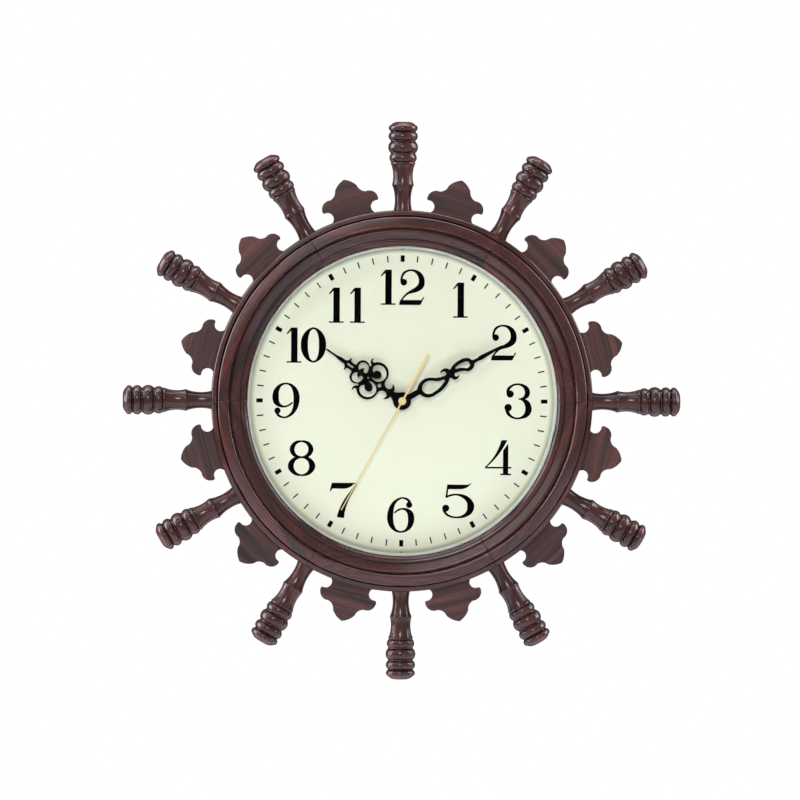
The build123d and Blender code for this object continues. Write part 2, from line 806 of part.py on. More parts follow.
with BuildPart() as spacer:
    with BuildSketch(face_plane(dial_front_depth)):
        Circle(glass_radius)
        Circle(opening_radius - spacer_showing, mode=Mode.SUBTRACT)
    extrude(amount=glass_back_depth - dial_front_depth)
save(spacer.part, "glass_spacer")

with BuildPart() as dial_sheet:
    with BuildSketch(face_plane(dial_ledge_depth)):
        Circle(glass_radius)
        Circle(bushing_radius + bushing_hole_clearance, mode=Mode.SUBTRACT)
    extrude(amount=dial_sheet_thickness)
save(dial_sheet.part, "dial_sheet")

with BuildPart() as dial_board:
    with BuildSketch(face_plane(movement_front_depth)):
        Circle(cavity_radius - board_clearance)
        Circle(bushing_radius + bushing_hole_clearance, mode=Mode.SUBTRACT)
    extrude(amount=dial_board_thickness)
    with Locations(back_plane(movement_front_depth)):
        with PolarLocations(dial_screw_radius, segment_count, start_angle=segment_middles[0] - 90):
            CounterSinkHole(
                radius=screw_radius + screw_hole_clearance,
                counter_sink_radius=screw_head_radius + screw_hole_clearance,
                depth=dial_board_thickness + cut_overrun,
                counter_sink_angle=countersink_angle,
            )
save(dial_board.part, "dial_board")

# Back board, flush with the back of the ring, with a window for the movement
with BuildPart() as back_board:
    with BuildSketch(face_plane(0)):
        Circle(cover_rebate_radius - board_clearance)
        with Locations((0, case_middle)):
            RectangleRounded(
                case_width + 2 * movement_window_clearance,
                case_height + 2 * movement_window_clearance,
                movement_window_corner,
                mode=Mode.SUBTRACT,
            )
    extrude(amount=back_board_thickness)
    with Locations(back_plane()):
        with PolarLocations(cover_screw_radius, segment_count, start_angle=segment_middles[0] - 90):
            CounterSinkHole(
                radius=screw_radius + screw_hole_clearance,
                counter_sink_radius=screw_head_radius + screw_hole_clearance,
                depth=back_board_thickness + cut_overrun,
                counter_sink_angle=countersink_angle,
            )
save(back_board.part, "back_board")

dial_screw_places = [beside((0, 0), angle, dial_screw_radius) for angle in segment_middles]
cover_screw_places = [beside((0, 0), angle, cover_screw_radius) for angle in segment_middles]
save(
    wood_screws(dial_screw_places, movement_front_depth, screw_radius, screw_head_radius, screw_length),
    "dial_board_screws",
)
save(
    wood_screws(cover_screw_places, 0, screw_radius, screw_head_radius, screw_length),
    "back_board_screws",
)

# Keyhole hanger and its screws
hanger_screw_places = [(side * hanger_screw_spacing / 2, hanger_radius) for side in (-1, 1)]
with BuildPart() as hanger:
    with BuildSketch(face_plane(hanger_sink, centre=(0, hanger_radius))):
        RectangleRounded(hanger_width, hanger_height, hanger_corner)
        with Locations((0, -keyhole_below_centre)):
            Circle(keyhole_radius, mode=Mode.SUBTRACT)
        with Locations((0, keyhole_slot_rise / 2 - keyhole_below_centre)):
            SlotCenterToCenter(
                keyhole_slot_rise, 2 * keyhole_slot_radius, rotation=90, mode=Mode.SUBTRACT
            )
    extrude(amount=hanger_thickness)
    with Locations(back_plane(hanger_sink)):
        with Locations(*[(x, -z) for x, z in hanger_screw_places]):
            CounterSinkHole(
                radius=hanger_screw_radius + screw_hole_clearance,
                counter_sink_radius=hanger_screw_head_radius + screw_hole_clearance,
                depth=hanger_thickness + cut_overrun,
                counter_sink_angle=countersink_angle,
            )
save(hanger.part, "hanger_plate")
save(
    wood_screws(
        hanger_screw_places,
        hanger_sink,
        hanger_screw_radius,
        hanger_screw_head_radius,
        hanger_screw_length,
    ),
    "hanger_screws",
)

# Places of the movement's arbors and of its motor, as (x, z)
third_place = beside((0, 0), third_angle, train_distance)
intermediate_place = beside((0, 0), intermediate_angle, train_distance)
rotor_place = beside(intermediate_place, rotor_angle, rotor_distance)
motion_place = beside((0, 0), motion_angle, motion_distance)
setting_place = beside(motion_place, setting_angle, setting_distance)
coil_place = (rotor_place[0] + coil_distance, rotor_place[1])
core_half_length = coil_half_length + core_end
core_back_depth = stator_depth + stator_thickness
core_front_depth = core_back_depth + core_thickness
board_bottom = -gear_room_below_axis + contact_thickness
board_middle = board_bottom + board_height / 2
board_front_depth = board_depth + board_thickness

# Front half of the movement's case, with the threaded bushing, bearings and posts
with BuildPart() as case_front:
    with BuildSketch(face_plane(case_inner_front_depth, centre=(0, case_middle))):
        RectangleRounded(case_width, case_height, case_corner)
    extrude(amount=case_front_thickness)
    with BuildSketch(face_plane(case_inner_front_depth)):
        Circle(bushing_radius)
    extrude(amount=bushing_end_depth - case_inner_front_depth)
    with BuildSketch(face_plane(boss_back_depth)):
        with Locations(third_place, intermediate_place, rotor_place, setting_place):
            Circle(boss_radius)
    extrude(amount=boss_length)
    with BuildSketch(face_plane(motion_wheel_depth - wheel_gap)):
        with Locations(motion_place):
            Circle(motion_post_radius)
    extrude(amount=case_inner_front_depth - motion_wheel_depth + wheel_gap)
    with BuildSketch(face_plane(core_front_depth)):
        with Locations(
            (coil_place[0], coil_place[1] + core_half_length - core_end / 2),
            (coil_place[0], coil_place[1] - core_half_length + core_end / 2),
        ):
            Circle(post_radius)
    extrude(amount=case_inner_front_depth - core_front_depth)
    with BuildSketch(face_plane(board_front_depth)):
        with Locations(
            (board_left + 2 * post_radius, board_middle),
            (board_left + board_width - 2 * post_radius, board_middle),
        ):
            Circle(post_radius)
    extrude(amount=case_inner_front_depth - board_front_depth)
    with BuildSketch(face_plane(case_inner_front_depth)):
        Circle(bushing_bore)
    extrude(amount=bushing_end_depth - case_inner_front_depth, mode=Mode.SUBTRACT)
    with BuildSketch(face_plane(boss_back_depth)):
        with Locations(third_place, intermediate_place, rotor_place, setting_place):
            Circle(pivot_hole_radius)
    extrude(amount=pivot_length + pivot_end_play, mode=Mode.SUBTRACT)
save(case_front.part, "movement_case_front")

# Back half of the case: a deep room for the wheels, and a battery room that is open behind
room_top = case_top - case_wall
with BuildPart() as case_back:
    with BuildSketch(face_plane(battery_room_back_depth, centre=(0, case_middle))):
        RectangleRounded(case_width, case_height, case_corner)
    extrude(amount=case_inner_front_depth - battery_room_back_depth)
    with BuildSketch(face_plane(battery_room_back_depth)):
        with Locations((0, -gear_room_below_axis)):
            Rectangle(
                case_width + cut_overrun,
                case_top + gear_room_below_axis + cut_overrun,
                align=(Align.CENTER, Align.MIN),
            )
    extrude(amount=gear_room_back_depth - battery_room_back_depth, mode=Mode.SUBTRACT)
    with BuildSketch(face_plane(gear_room_inner_back)):
        with Locations((0, -gear_room_below_axis)):
            Rectangle(
                2 * case_inner_half_width,
                room_top + gear_room_below_axis,
                align=(Align.CENTER, Align.MIN),
            )
    extrude(amount=case_inner_front_depth - gear_room_inner_back, mode=Mode.SUBTRACT)
    with BuildSketch(face_plane(battery_room_back_depth, centre=(0, battery_height))):
        Rectangle(2 * case_inner_half_width, 2 * battery_room_half)
    extrude(amount=case_inner_front_depth - battery_room_back_depth, mode=Mode.SUBTRACT)
    with BuildSketch(face_plane(battery_depth - contact_width / 2)):
        for side in (-1, 1):
            with Locations((side * case_inner_half_width, battery_room_top + case_wall / 2)):
                Rectangle(2 * contact_thickness, case_wall)
    extrude(amount=contact_width, mode=Mode.SUBTRACT)
    with BuildSketch(face_plane(gear_room_inner_back)):
        with Locations(third_place, intermediate_place, rotor_place):
            Circle(pivot_hole_radius)
        Circle(seconds_arbor_radius + running_clearance)
    extrude(amount=-pivot_length - pivot_end_play, mode=Mode.SUBTRACT)
    with BuildSketch(face_plane(gear_room_back_depth)):
        with Locations(setting_place):
            Circle(setting_arbor_radius + running_clearance)
    extrude(amount=gear_room_back_wall, mode=Mode.SUBTRACT)
save(case_back.part, "movement_case_back")

with BuildPart() as washer:
    with BuildSketch(face_plane(dial_front_depth)):
        Circle(washer_radius)
        Circle(bushing_radius + bushing_hole_clearance, mode=Mode.SUBTRACT)
    extrude(amount=washer_thickness)
save(washer.part, "bushing_washer")

with BuildPart() as nut:
    with BuildSketch(face_plane(dial_front_depth + washer_thickness)):
        RegularPolygon(radius=nut_across_flats / 2, side_count=6, major_radius=False)
        Circle(bushing_radius + thread_clearance, mode=Mode.SUBTRACT)
    extrude(amount=nut_thickness)
save(nut.part, "bushing_nut")


# Rotor: a magnet and a pinion on one arbor, inside the stator's hole
with BuildPart() as rotor:
    with BuildSketch(face_plane(pivot_back_depth, centre=rotor_place)):
        Circle(pivot_radius)
    extrude(amount=pivot_front_depth - pivot_back_depth)
    pinion_plane = face_plane(third_wheel_depth - pinion_overlap)
    pinion_angle = facing(rotor_angle + 180, rotor_pinion_teeth)
    extrude(
        toothed_disc(pinion_plane, rotor_pinion_teeth, rotor_module, rotor_place, pinion_angle),
        amount=wheel_thickness + 2 * pinion_overlap,
    )
    with BuildSketch(face_plane(magnet_depth, centre=rotor_place)):
        Circle(magnet_radius)
    extrude(amount=magnet_length)
save(rotor.part, "rotor")

# Intermediate wheel, from the rotor to the seconds wheel
with BuildPart() as intermediate_wheel:
    with BuildSketch(face_plane(pivot_back_depth, centre=intermediate_place)):
        Circle(pivot_radius)
    extrude(amount=pivot_front_depth - pivot_back_depth)
    pinion_plane = face_plane(seconds_wheel_depth - pinion_overlap)
    pinion_angle = facing(intermediate_angle + 180, intermediate_pinion_teeth)
    extrude(
        toothed_disc(
            pinion_plane, intermediate_pinion_teeth, seconds_module, intermediate_place, pinion_angle
        ),
        amount=third_wheel_depth - seconds_wheel_depth + pinion_overlap,
    )
    extrude(
        toothed_disc(
            face_plane(third_wheel_depth),
            intermediate_wheel_teeth,
            rotor_module,
            intermediate_place,
            rotor_angle,
        ),
        amount=wheel_thickness,
    )
save(intermediate_wheel.part, "intermediate_wheel")

# Seconds wheel, with the long arbor that carries the second hand
with BuildPart() as seconds_wheel:
    with BuildSketch(face_plane(pivot_back_depth)):
        Circle(seconds_arbor_radius)
    extrude(amount=seconds_arbor_end_depth - pivot_back_depth)
    extrude(
        toothed_disc(
            face_plane(seconds_wheel_depth), seconds_wheel_teeth, seconds_module, (0, 0), intermediate_angle
        ),
        amount=wheel_thickness,
    )
    pinion_angle = facing(third_angle, seconds_pinion_teeth)
    extrude(
        toothed_disc(
            face_plane(seconds_wheel_depth + wheel_thickness),
            seconds_pinion_teeth,
            third_module,
            (0, 0),
            pinion_angle,
        ),
        amount=third_wheel_depth - seconds_wheel_depth + pinion_overlap,
    )
save(seconds_wheel.part, "seconds_wheel")

# Third wheel, from the seconds wheel to the minute wheel
with BuildPart() as third_wheel:
    with BuildSketch(face_plane(pivot_back_depth, centre=third_place)):
        Circle(pivot_radius)
    extrude(amount=pivot_front_depth - pivot_back_depth)
    extrude(
        toothed_disc(
            face_plane(third_wheel_depth), third_wheel_teeth, third_module, third_place, third_angle + 180
        ),
        amount=wheel_thickness,
    )
    pinion_angle = facing(third_angle + 180, third_pinion_teeth)
    extrude(
        toothed_disc(
            face_plane(third_wheel_depth + wheel_thickness),
            third_pinion_teeth,
            minute_module,
            third_place,
            pinion_angle,
        ),
        amount=minute_wheel_depth - third_wheel_depth + pinion_overlap,
    )
save(third_wheel.part, "third_wheel")

# Minute wheel, with its tube and the cannon pinion that drives the motion wheel
with BuildPart() as minute_wheel:
    with BuildSketch(face_plane(minute_wheel_depth)):
        Circle(minute_tube_radius)
    extrude(amount=minute_tube_end_depth - minute_wheel_depth)
    extrude(
        toothed_disc(
            face_plane(minute_wheel_depth), minute_wheel_teeth, minute_module, (0, 0), third_angle
        ),
        amount=wheel_thickness,
    )
    pinion_angle = facing(motion_angle, cannon_pinion_teeth)
    extrude(
        toothed_disc(
            face_plane(motion_wheel_depth - pinion_overlap),
            cannon_pinion_teeth,
            cannon_module,
            (0, 0),
            pinion_angle,
        ),
        amount=wheel_thickness + 2 * pinion_overlap,
    )
    with BuildSketch(face_plane(minute_wheel_depth)):
        Circle(minute_tube_bore)
    extrude(amount=minute_tube_end_depth - minute_wheel_depth, mode=Mode.SUBTRACT)
save(minute_wheel.part, "minute_wheel")

# Motion wheel, which turns on a post and slows the minutes down to the hours
with BuildPart() as motion_wheel:
    extrude(
        toothed_disc(
            face_plane(motion_wheel_depth),
            motion_wheel_teeth,
            cannon_module,
            motion_place,
            motion_angle + 180,
        ),
        amount=wheel_thickness,
    )
    pinion_angle = facing(motion_angle + 180, motion_pinion_teeth)
    extrude(
        toothed_disc(
            face_plane(motion_wheel_depth + wheel_thickness),
            motion_pinion_teeth,
            hour_module,
            motion_place,
            pinion_angle,
        ),
        amount=hour_wheel_depth - motion_wheel_depth + pinion_overlap,
    )
    with BuildSketch(face_plane(motion_wheel_depth, centre=motion_place)):
        Circle(motion_post_radius + running_clearance)
    extrude(
        amount=hour_wheel_depth - motion_wheel_depth + wheel_thickness + pinion_overlap,
        mode=Mode.SUBTRACT,
    )
save(motion_wheel.part, "motion_wheel")

# Hour wheel, with the tube that runs in the bushing
with BuildPart() as hour_wheel:
    with BuildSketch(face_plane(hour_wheel_depth)):
        Circle(hour_tube_radius)
    extrude(amount=hour_tube_end_depth - hour_wheel_depth)
    extrude(
        toothed_disc(face_plane(hour_wheel_depth), hour_wheel_teeth, hour_module, (0, 0), motion_angle),
        amount=wheel_thickness,
    )
    with BuildSketch(face_plane(hour_wheel_depth)):
        Circle(hour_tube_bore)
    extrude(amount=hour_tube_end_depth - hour_wheel_depth, mode=Mode.SUBTRACT)
save(hour_wheel.part, "hour_wheel")

# Setting knob: a notched disc behind the case, and a pinion inside that turns the motion wheel
knob_back_depth = gear_room_back_depth - setting_knob_gap - setting_knob_thickness
with BuildPart() as setting_knob:
    with BuildSketch(face_plane(knob_back_depth, centre=setting_place)):
        Circle(setting_knob_radius)
        with PolarLocations(setting_knob_radius, setting_knob_notches):
            Circle(setting_notch_radius, mode=Mode.SUBTRACT)
    extrude(amount=setting_knob_thickness)
    with BuildSketch(face_plane(knob_back_depth, centre=setting_place)):
        Circle(setting_arbor_radius)
    extrude(amount=motion_wheel_depth - knob_back_depth)
    with BuildSketch(face_plane(knob_back_depth, centre=setting_place)):
        Circle(pivot_radius)
    extrude(amount=pivot_front_depth - knob_back_depth)
    pinion_angle = facing(setting_angle + 180, setting_pinion_teeth)
    extrude(
        toothed_disc(
            face_plane(motion_wheel_depth - pinion_overlap),
            setting_pinion_teeth,
            cannon_module,
            setting_place,
            pinion_angle,
        ),
        amount=wheel_thickness + 2 * pinion_overlap,
    )
save(setting_knob.part, "setting_knob")

# Stator: one plate, pierced for the rotor, with a foot at each end that laps onto the coil's core
stator_half_width = magnet_radius + stator_air_gap + stator_neck
with BuildPart() as stator:
    with BuildSketch(face_plane(stator_depth, centre=rotor_place)):
        Rectangle(2 * stator_half_width, 2 * core_half_length)
        for side in (-1, 1):
            with Locations((-stator_half_width, side * (core_half_length - stator_foot_height / 2))):
                Rectangle(
                    stator_half_width + coil_distance + core_width / 2,
                    stator_foot_height,
                    align=(Align.MIN, Align.CENTER),
                )
        Circle(magnet_radius + stator_air_gap, mode=Mode.SUBTRACT)
    extrude(amount=stator_thickness)
save(stator.part, "stator")

# Coil: a flat iron core through a wound spool with a flange at each end
coil_depth = core_back_depth + core_thickness / 2
with BuildPart() as coil:
    with BuildSketch(face_plane(core_back_depth, centre=coil_place)):
        Rectangle(core_width, 2 * core_half_length)
    extrude(amount=core_thickness)
    with BuildSketch(radial_plane(0, coil_depth, coil_place[1] - coil_half_length)):
        with Locations((coil_place[0], 0)):
            Circle(coil_radius)
    extrude(amount=2 * coil_half_length)
    for flange_height in (-coil_half_length, coil_half_length - coil_flange_thickness):
        with BuildSketch(radial_plane(0, coil_depth, coil_place[1] + flange_height)):
            with Locations((coil_place[0], 0)):
                Circle(coil_radius + coil_flange_extra)
        extrude(amount=coil_flange_thickness)
save(coil.part, "coil")

# Circuit board, with its chip and its quartz crystal on the back
with BuildPart() as circuit_board:
    with BuildSketch(face_plane(board_depth)):
        with Locations((board_left, board_middle)):
            Rectangle(board_width, board_height, align=(Align.MIN, Align.CENTER))
    extrude(amount=board_thickness)
    with BuildSketch(face_plane(board_depth - chip_thickness)):
        with Locations((board_left + board_width / 4, board_middle)):
            Circle(chip_radius)
    extrude(amount=chip_thickness)
    crystal_plane = Plane(
        origin=(board_left + board_width / 2, crystal_radius - crystal_seat - board_depth, board_middle),
        x_dir=(0, 1, 0),
        z_dir=(1, 0, 0),
    )
    with BuildSketch(crystal_plane):
        Circle(crystal_radius)
    extrude(amount=crystal_length)
save(circuit_board.part, "circuit_board")

# Battery contacts: a plate at each end of the battery, and a strip that reaches the circuit board
plate_back_depth = battery_depth - contact_width / 2
plate_bottom = battery_height - contact_height / 2
strip_bottom = -gear_room_below_axis
contact_inner_x = case_inner_half_width - contact_thickness
with BuildPart() as positive_contact:
    with BuildSketch(face_plane(plate_back_depth)):
        with Locations((contact_inner_x, plate_bottom)):
            Rectangle(
                contact_thickness,
                strip_bottom + contact_thickness - plate_bottom,
                align=(Align.MIN, Align.MIN),
            )
    extrude(amount=contact_width)
    strip_start = board_left + board_width - contact_board_lap
    with BuildSketch(face_plane(contact_strip_depth)):
        with Locations((strip_start, strip_bottom)):
            Rectangle(
                case_inner_half_width - strip_start,
                contact_thickness,
                align=(Align.MIN, Align.MIN),
            )
    extrude(amount=contact_strip_width)
save(positive_contact.part, "positive_contact")

with BuildPart() as negative_contact:
    with BuildSketch(face_plane(plate_back_depth)):
        with Locations((-contact_inner_x, plate_bottom)):
            Rectangle(
                contact_thickness,
                strip_bottom + contact_thickness - plate_bottom,
                align=(Align.MAX, Align.MIN),
            )
    extrude(amount=contact_width)
    strip_end = board_left + contact_board_lap
    with BuildSketch(face_plane(contact_strip_depth)):
        with Locations((strip_end, strip_bottom)):
            Rectangle(
                strip_end + case_inner_half_width,
                contact_thickness,
                align=(Align.MAX, Align.MIN),
            )
    extrude(amount=contact_strip_width)
    spring_plane = Plane(
        origin=(-contact_inner_x, -battery_depth, battery_height), x_dir=(0, 1, 0), z_dir=(1, 0, 0)
    )
    spring_length = battery_left - contact_end_gap + contact_inner_x
    with BuildSketch(spring_plane):
        Circle(contact_spring_radius)
    with BuildSketch(spring_plane.offset(spring_length)):
        Circle(contact_spring_tip_radius)
    loft()
save(negative_contact.part, "negative_contact")

# Battery, with its nub towards three o'clock
battery_body_right = battery_right - battery_nub_length
with BuildPart() as battery:
    battery_plane = Plane(origin=(0, -battery_depth, battery_height), x_dir=(1, 0, 0), z_dir=(0, 0, -1))
    with BuildSketch(battery_plane):
        with BuildLine():
            Line((battery_left, 0), (battery_left, battery_radius - battery_edge_round))
            TangentArc(
                (battery_left, battery_radius - battery_edge_round),
                (battery_left + battery_edge_round, battery_radius),
                tangent=(0, 1),
            )
            Line(
                (battery_left + battery_edge_round, battery_radius),
                (battery_body_right - battery_edge_round, battery_radius),
            )
            TangentArc(
                (battery_body_right - battery_edge_round, battery_radius),
                (battery_body_right, battery_radius - battery_edge_round),
                tangent=(1, 0),
            )
            Polyline(
                (battery_body_right, battery_radius - battery_edge_round),
                (battery_body_right, battery_nub_radius),
                (battery_right, battery_nub_radius),
                (battery_right, 0),
                (battery_left, 0),
            )
        make_face()
    revolve(axis=Axis(battery_plane.origin, battery_plane.x_dir))
save(battery.part, "battery")

# Hour hand: a pierced spear with two pairs of scrolls
with BuildPart() as hour_hand:
    with BuildSketch(face_plane(hour_hand_depth, hour_hand_angle)):
        with BuildLine():
            first_point = hour_outline_shares[0][0]
            draw_runs(hour_outline_shares, hour_hand_length, hour_hand_length)
            Polyline(
                (0, hour_hand_length),
                (0, 0),
                (first_point[0] * hour_hand_length, first_point[1] * hour_hand_length),
            )
        make_face()
        mirror(about=Plane.YZ)
        Circle(hour_hub_radius)
        for side in (-1, 1):
            for opening in (hour_scroll_shares, hour_upper_scroll_shares):
                with BuildLine():
                    draw_runs(opening, side * hour_hand_length, hour_hand_length)
                make_face(mode=Mode.SUBTRACT)
        with BuildLine():
            Polyline(
                *[(x * hour_hand_length, y * hour_hand_length) for x, y in hour_diamond_shares],
                close=True,
            )
        make_face(mode=Mode.SUBTRACT)
        with Locations((0, hour_pin_hole_shares[0] * hour_hand_length)):
            Circle(hour_pin_hole_shares[1] * hour_hand_length, mode=Mode.SUBTRACT)
        slot_start, slot_end, slot_half_width = [share * hour_hand_length for share in hour_slot_shares]
        with Locations((0, (slot_start + slot_end) / 2)):
            SlotOverall(slot_end - slot_start, 2 * slot_half_width, rotation=90, mode=Mode.SUBTRACT)
    extrude(amount=hand_thickness)
    with BuildSketch(face_plane(hour_hand_depth)):
        Circle(hour_tube_radius + collet_wall)
    extrude(amount=-hour_collet_length)
    with BuildSketch(face_plane(hour_hand_depth - hour_collet_length)):
        Circle(hour_tube_radius)
    extrude(amount=hour_collet_length + hand_thickness, mode=Mode.SUBTRACT)
save(hour_hand.part, "hour_hand")

# Minute hand: a winding ribbon with two open loops and a spear point
with BuildPart() as minute_hand:
    with BuildSketch(face_plane(minute_hand_depth, minute_hand_angle)):
        with BuildLine():
            draw_runs(minute_outline_shares, minute_hand_length, minute_hand_length)
        make_face()
        Circle(minute_hub_radius)
        for opening in (minute_lower_loop_shares, minute_upper_loop_shares):
            with BuildLine():
                draw_runs(opening, minute_hand_length, minute_hand_length)
            make_face(mode=Mode.SUBTRACT)
    extrude(amount=hand_thickness)
    with BuildSketch(face_plane(minute_hand_depth)):
        Circle(minute_tube_radius + collet_wall)
    extrude(amount=-minute_collet_length)
    with BuildSketch(face_plane(minute_hand_depth - minute_collet_length)):
        Circle(minute_tube_radius)
    extrude(amount=minute_collet_length + hand_thickness, mode=Mode.SUBTRACT)
save(minute_hand.part, "minute_hand")

# Second hand: a thin pointer with a wider tail and a round cap, on a short tube
with BuildPart() as second_hand:
    with BuildSketch(face_plane(second_hand_depth, second_hand_angle)):
        with BuildLine():
            Polyline(
                (-second_tail_width / 2, -second_tail_length),
                (second_tail_width / 2, -second_tail_length),
                (second_hub_width / 2, 0),
                (second_tip_width / 2, second_hand_length),
                (-second_tip_width / 2, second_hand_length),
                (-second_hub_width / 2, 0),
                close=True,
            )
        make_face()
        Circle(second_hub_radius)
    extrude(amount=second_hand_thickness)
    with BuildSketch(face_plane(second_hand_depth)):
        Circle(seconds_arbor_radius + collet_wall)
    extrude(amount=-second_collet_length)
    with BuildSketch(face_plane(second_hand_depth - second_collet_length)):
        Circle(seconds_arbor_radius)
    extrude(amount=second_collet_length + second_hand_thickness, mode=Mode.SUBTRACT)
save(second_hand.part, "second_hand")
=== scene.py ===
import math

import bmesh
import bpy
import numpy as np
from mathutils import Matrix, Vector
from mathutils.geometry import delaunay_2d_cdt


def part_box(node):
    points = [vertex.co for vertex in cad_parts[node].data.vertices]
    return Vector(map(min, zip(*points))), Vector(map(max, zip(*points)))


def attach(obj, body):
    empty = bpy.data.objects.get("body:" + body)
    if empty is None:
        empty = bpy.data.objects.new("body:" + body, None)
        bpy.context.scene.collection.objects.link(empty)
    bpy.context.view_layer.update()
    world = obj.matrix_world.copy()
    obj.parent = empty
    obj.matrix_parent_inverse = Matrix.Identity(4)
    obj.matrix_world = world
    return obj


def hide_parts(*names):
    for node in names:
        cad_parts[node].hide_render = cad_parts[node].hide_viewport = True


# Ship's wheel wall clock. Y is the clock's axis and the wall is y = 0; a depth is a distance from the
# wall towards the viewer, and a clock angle is in degrees from twelve, clockwise as the viewer sees it.
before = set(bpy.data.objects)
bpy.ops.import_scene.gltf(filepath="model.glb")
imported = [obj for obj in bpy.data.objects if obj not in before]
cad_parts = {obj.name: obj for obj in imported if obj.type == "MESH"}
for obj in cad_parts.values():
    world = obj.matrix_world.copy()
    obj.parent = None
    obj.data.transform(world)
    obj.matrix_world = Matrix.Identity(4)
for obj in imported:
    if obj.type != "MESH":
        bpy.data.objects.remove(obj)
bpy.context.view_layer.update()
print("frame loaded")

mm = 0.001
samePoint = 1e-7  # points nearer than this are one point
flatArea = 1e-15  # three points whose sides span less than this lie in a line


# Shader maths: a Value is a socket that takes part in sums, and each operator adds its Math node
class Value:
    def __init__(self, finish, socket):
        self.finish = finish
        self.socket = socket

    def maths(self, operation, first, second):
        return self.finish.node("ShaderNodeMath", {"operation": operation}, {0: first, 1: second})

    def __add__(self, other):
        return self.maths("ADD", self, other)

    def __sub__(self, other):
        return self.maths("SUBTRACT", self, other)

    def __rsub__(self, other):
        return self.maths("SUBTRACT", other, self)

    def __mul__(self, other):
        return self.maths("MULTIPLY", self, other)

    __radd__ = __add__
    __rmul__ = __mul__


# A Finish is one material, or the sky, with its nodes
class Finish:
    def __init__(self, name, kind=bpy.data.materials):
        self.block = kind.new(name)
        self.block.use_nodes = True
        self.tree = self.block.node_tree
        self.tree.nodes.clear()

    # Any node: its type, its settings, then the values or links of its sockets
    def node(self, kind, settings, sockets, result=0):
        node = self.tree.nodes.new(kind)
        for key, setting in settings.items():
            if key == "stops":
                ramp = node.color_ramp.elements
                for place, _ in setting[len(ramp):]:
                    ramp.new(place)
                for stop, (place, colour) in zip(ramp, setting):
                    stop.position = place
                    stop.color = (*colour, 1)
            else:
                setattr(node, key, setting)
        for key, value in sockets.items():
            if isinstance(value, Value):
                self.tree.links.new(value.socket, node.inputs[key])
            else:
                node.inputs[key].default_value = value
        return Value(self, node.outputs[result]) if node.outputs else None

    # Object coordinates, turned about the clock's axis so that Z runs out at a clock angle, then stretched
    def place(self, angle=0, stretch=(1, 1, 1), shift=(0, 0, 0)):
        points = self.node("ShaderNodeTexCoord", {}, {}, "Object")
        rotation = (0, math.radians(-angle), 0)
        turned = self.node("ShaderNodeMapping", {}, {"Vector": points, "Rotation": rotation})
        return self.node("ShaderNodeMapping", {}, {"Vector": turned, "Location": shift, "Scale": stretch})

    def noise(self, points, scale=1.0, detail=2.0, roughness=0.5, distortion=0.0):
        sockets = {"Vector": points, "Scale": scale, "Detail": detail}
        sockets |= {"Roughness": roughness, "Distortion": distortion}
        return self.node("ShaderNodeTexNoise", {}, sockets)

    def ramp(self, value, stops):
        return self.node("ShaderNodeValToRGB", {"stops": stops}, {"Fac": value})

    # Smooth step from 0 to 1 while a value runs from low to high
    def step(self, value, low, high):
        sockets = {"Value": value, "From Min": low, "From Max": high}
        return self.node("ShaderNodeMapRange", {"interpolation_type": "SMOOTHSTEP"}, sockets)

    # Colour between two: the first where the amount is 0, the second where it is 1
    def mix(self, amount, first, second):
        first = first if isinstance(first, Value) else (*first, 1)
        second = second if isinstance(second, Value) else (*second, 1)
        return self.node("ShaderNodeMix", {"data_type": "RGBA"}, {0: amount, 6: first, 7: second}, 2)

    # Relief: the height is a share of the distance, in metres
    def bump(self, height, distance):
        return self.node("ShaderNodeBump", {}, {"Height": height, "Distance": distance, "Strength": 1.0})

    def surface(self, sockets):
        body = self.node("ShaderNodeBsdfPrincipled", {}, sockets)
        self.node("ShaderNodeOutputMaterial", {}, {"Surface": body})
        return self.block


# Curves in a plane, as arrays of points

# Points of the circle through three points, from the first to the last: its centre is as far from the
# first as from the middle and the last, and the turn about it goes the way that passes the middle
def arcThree(first, middle, last, count=8):
    first, middle, last = (np.array(point, float) for point in (first, middle, last))
    sides = 2 * np.array([middle - first, last - first])
    if abs(np.linalg.det(sides)) < flatArea:
        return np.linspace(first, last, count + 1)
    centre = np.linalg.solve(sides, [middle @ middle - first @ first, last @ last - first @ first])
    start, half, whole = (math.atan2(*(point - centre)[::-1]) for point in (first, middle, last))
    half, whole = (half - start) % (2 * math.pi), (whole - start) % (2 * math.pi)
    if half > whole:
        whole -= 2 * math.pi
    turn = start + np.linspace(0, whole, count + 1)
    radius = math.hypot(*(first - centre))
    return centre + radius * np.stack([np.cos(turn), np.sin(turn)], 1)


# Arc from one point to another that leaves the first along a tangent: its middle lies where the turn
# from the tangent to the chord is half done
def arcTangent(first, last, tangent, count=8):
    first, last, tangent = (np.array(v, float) for v in (first, last, tangent))
    chord = last - first
    length = np.hypot(*chord)
    tangent = tangent / np.hypot(*tangent)
    side = np.array([-chord[1], chord[0]]) / length
    angle = math.atan2(tangent @ side, tangent @ (chord / length))
    middle = (first + last) / 2 + side * math.tan(angle / 2) * length / 2
    return arcThree(first, middle, last, count)


# Direction in which a curve leaves its last point: the slope there of the parabola through its last three
def leaving(points):
    return points[-1] * 3 - points[-2] * 4 + points[-3]


# Pieces of a line joined end to end, without the doubled points
def joined(*pieces):
    points = np.concatenate([np.atleast_2d(np.array(piece, float)) for piece in pieces])
    apart = np.hypot(*(points[1:] - points[:-1]).T) > samePoint
    return points[np.concatenate([[True], apart])]


# Points of an outline given in shares of its size: a run of two points is a line, and one of three an arc
def runsToPoints(runs, across, along, start=0.0, count=8):
    pieces = []
    for run in runs:
        points = [(share[0] * across, start + share[1] * along) for share in run]
        pieces.append(arcThree(*points, count) if len(points) == 3 else points)
    return joined(*pieces)


# Meshes

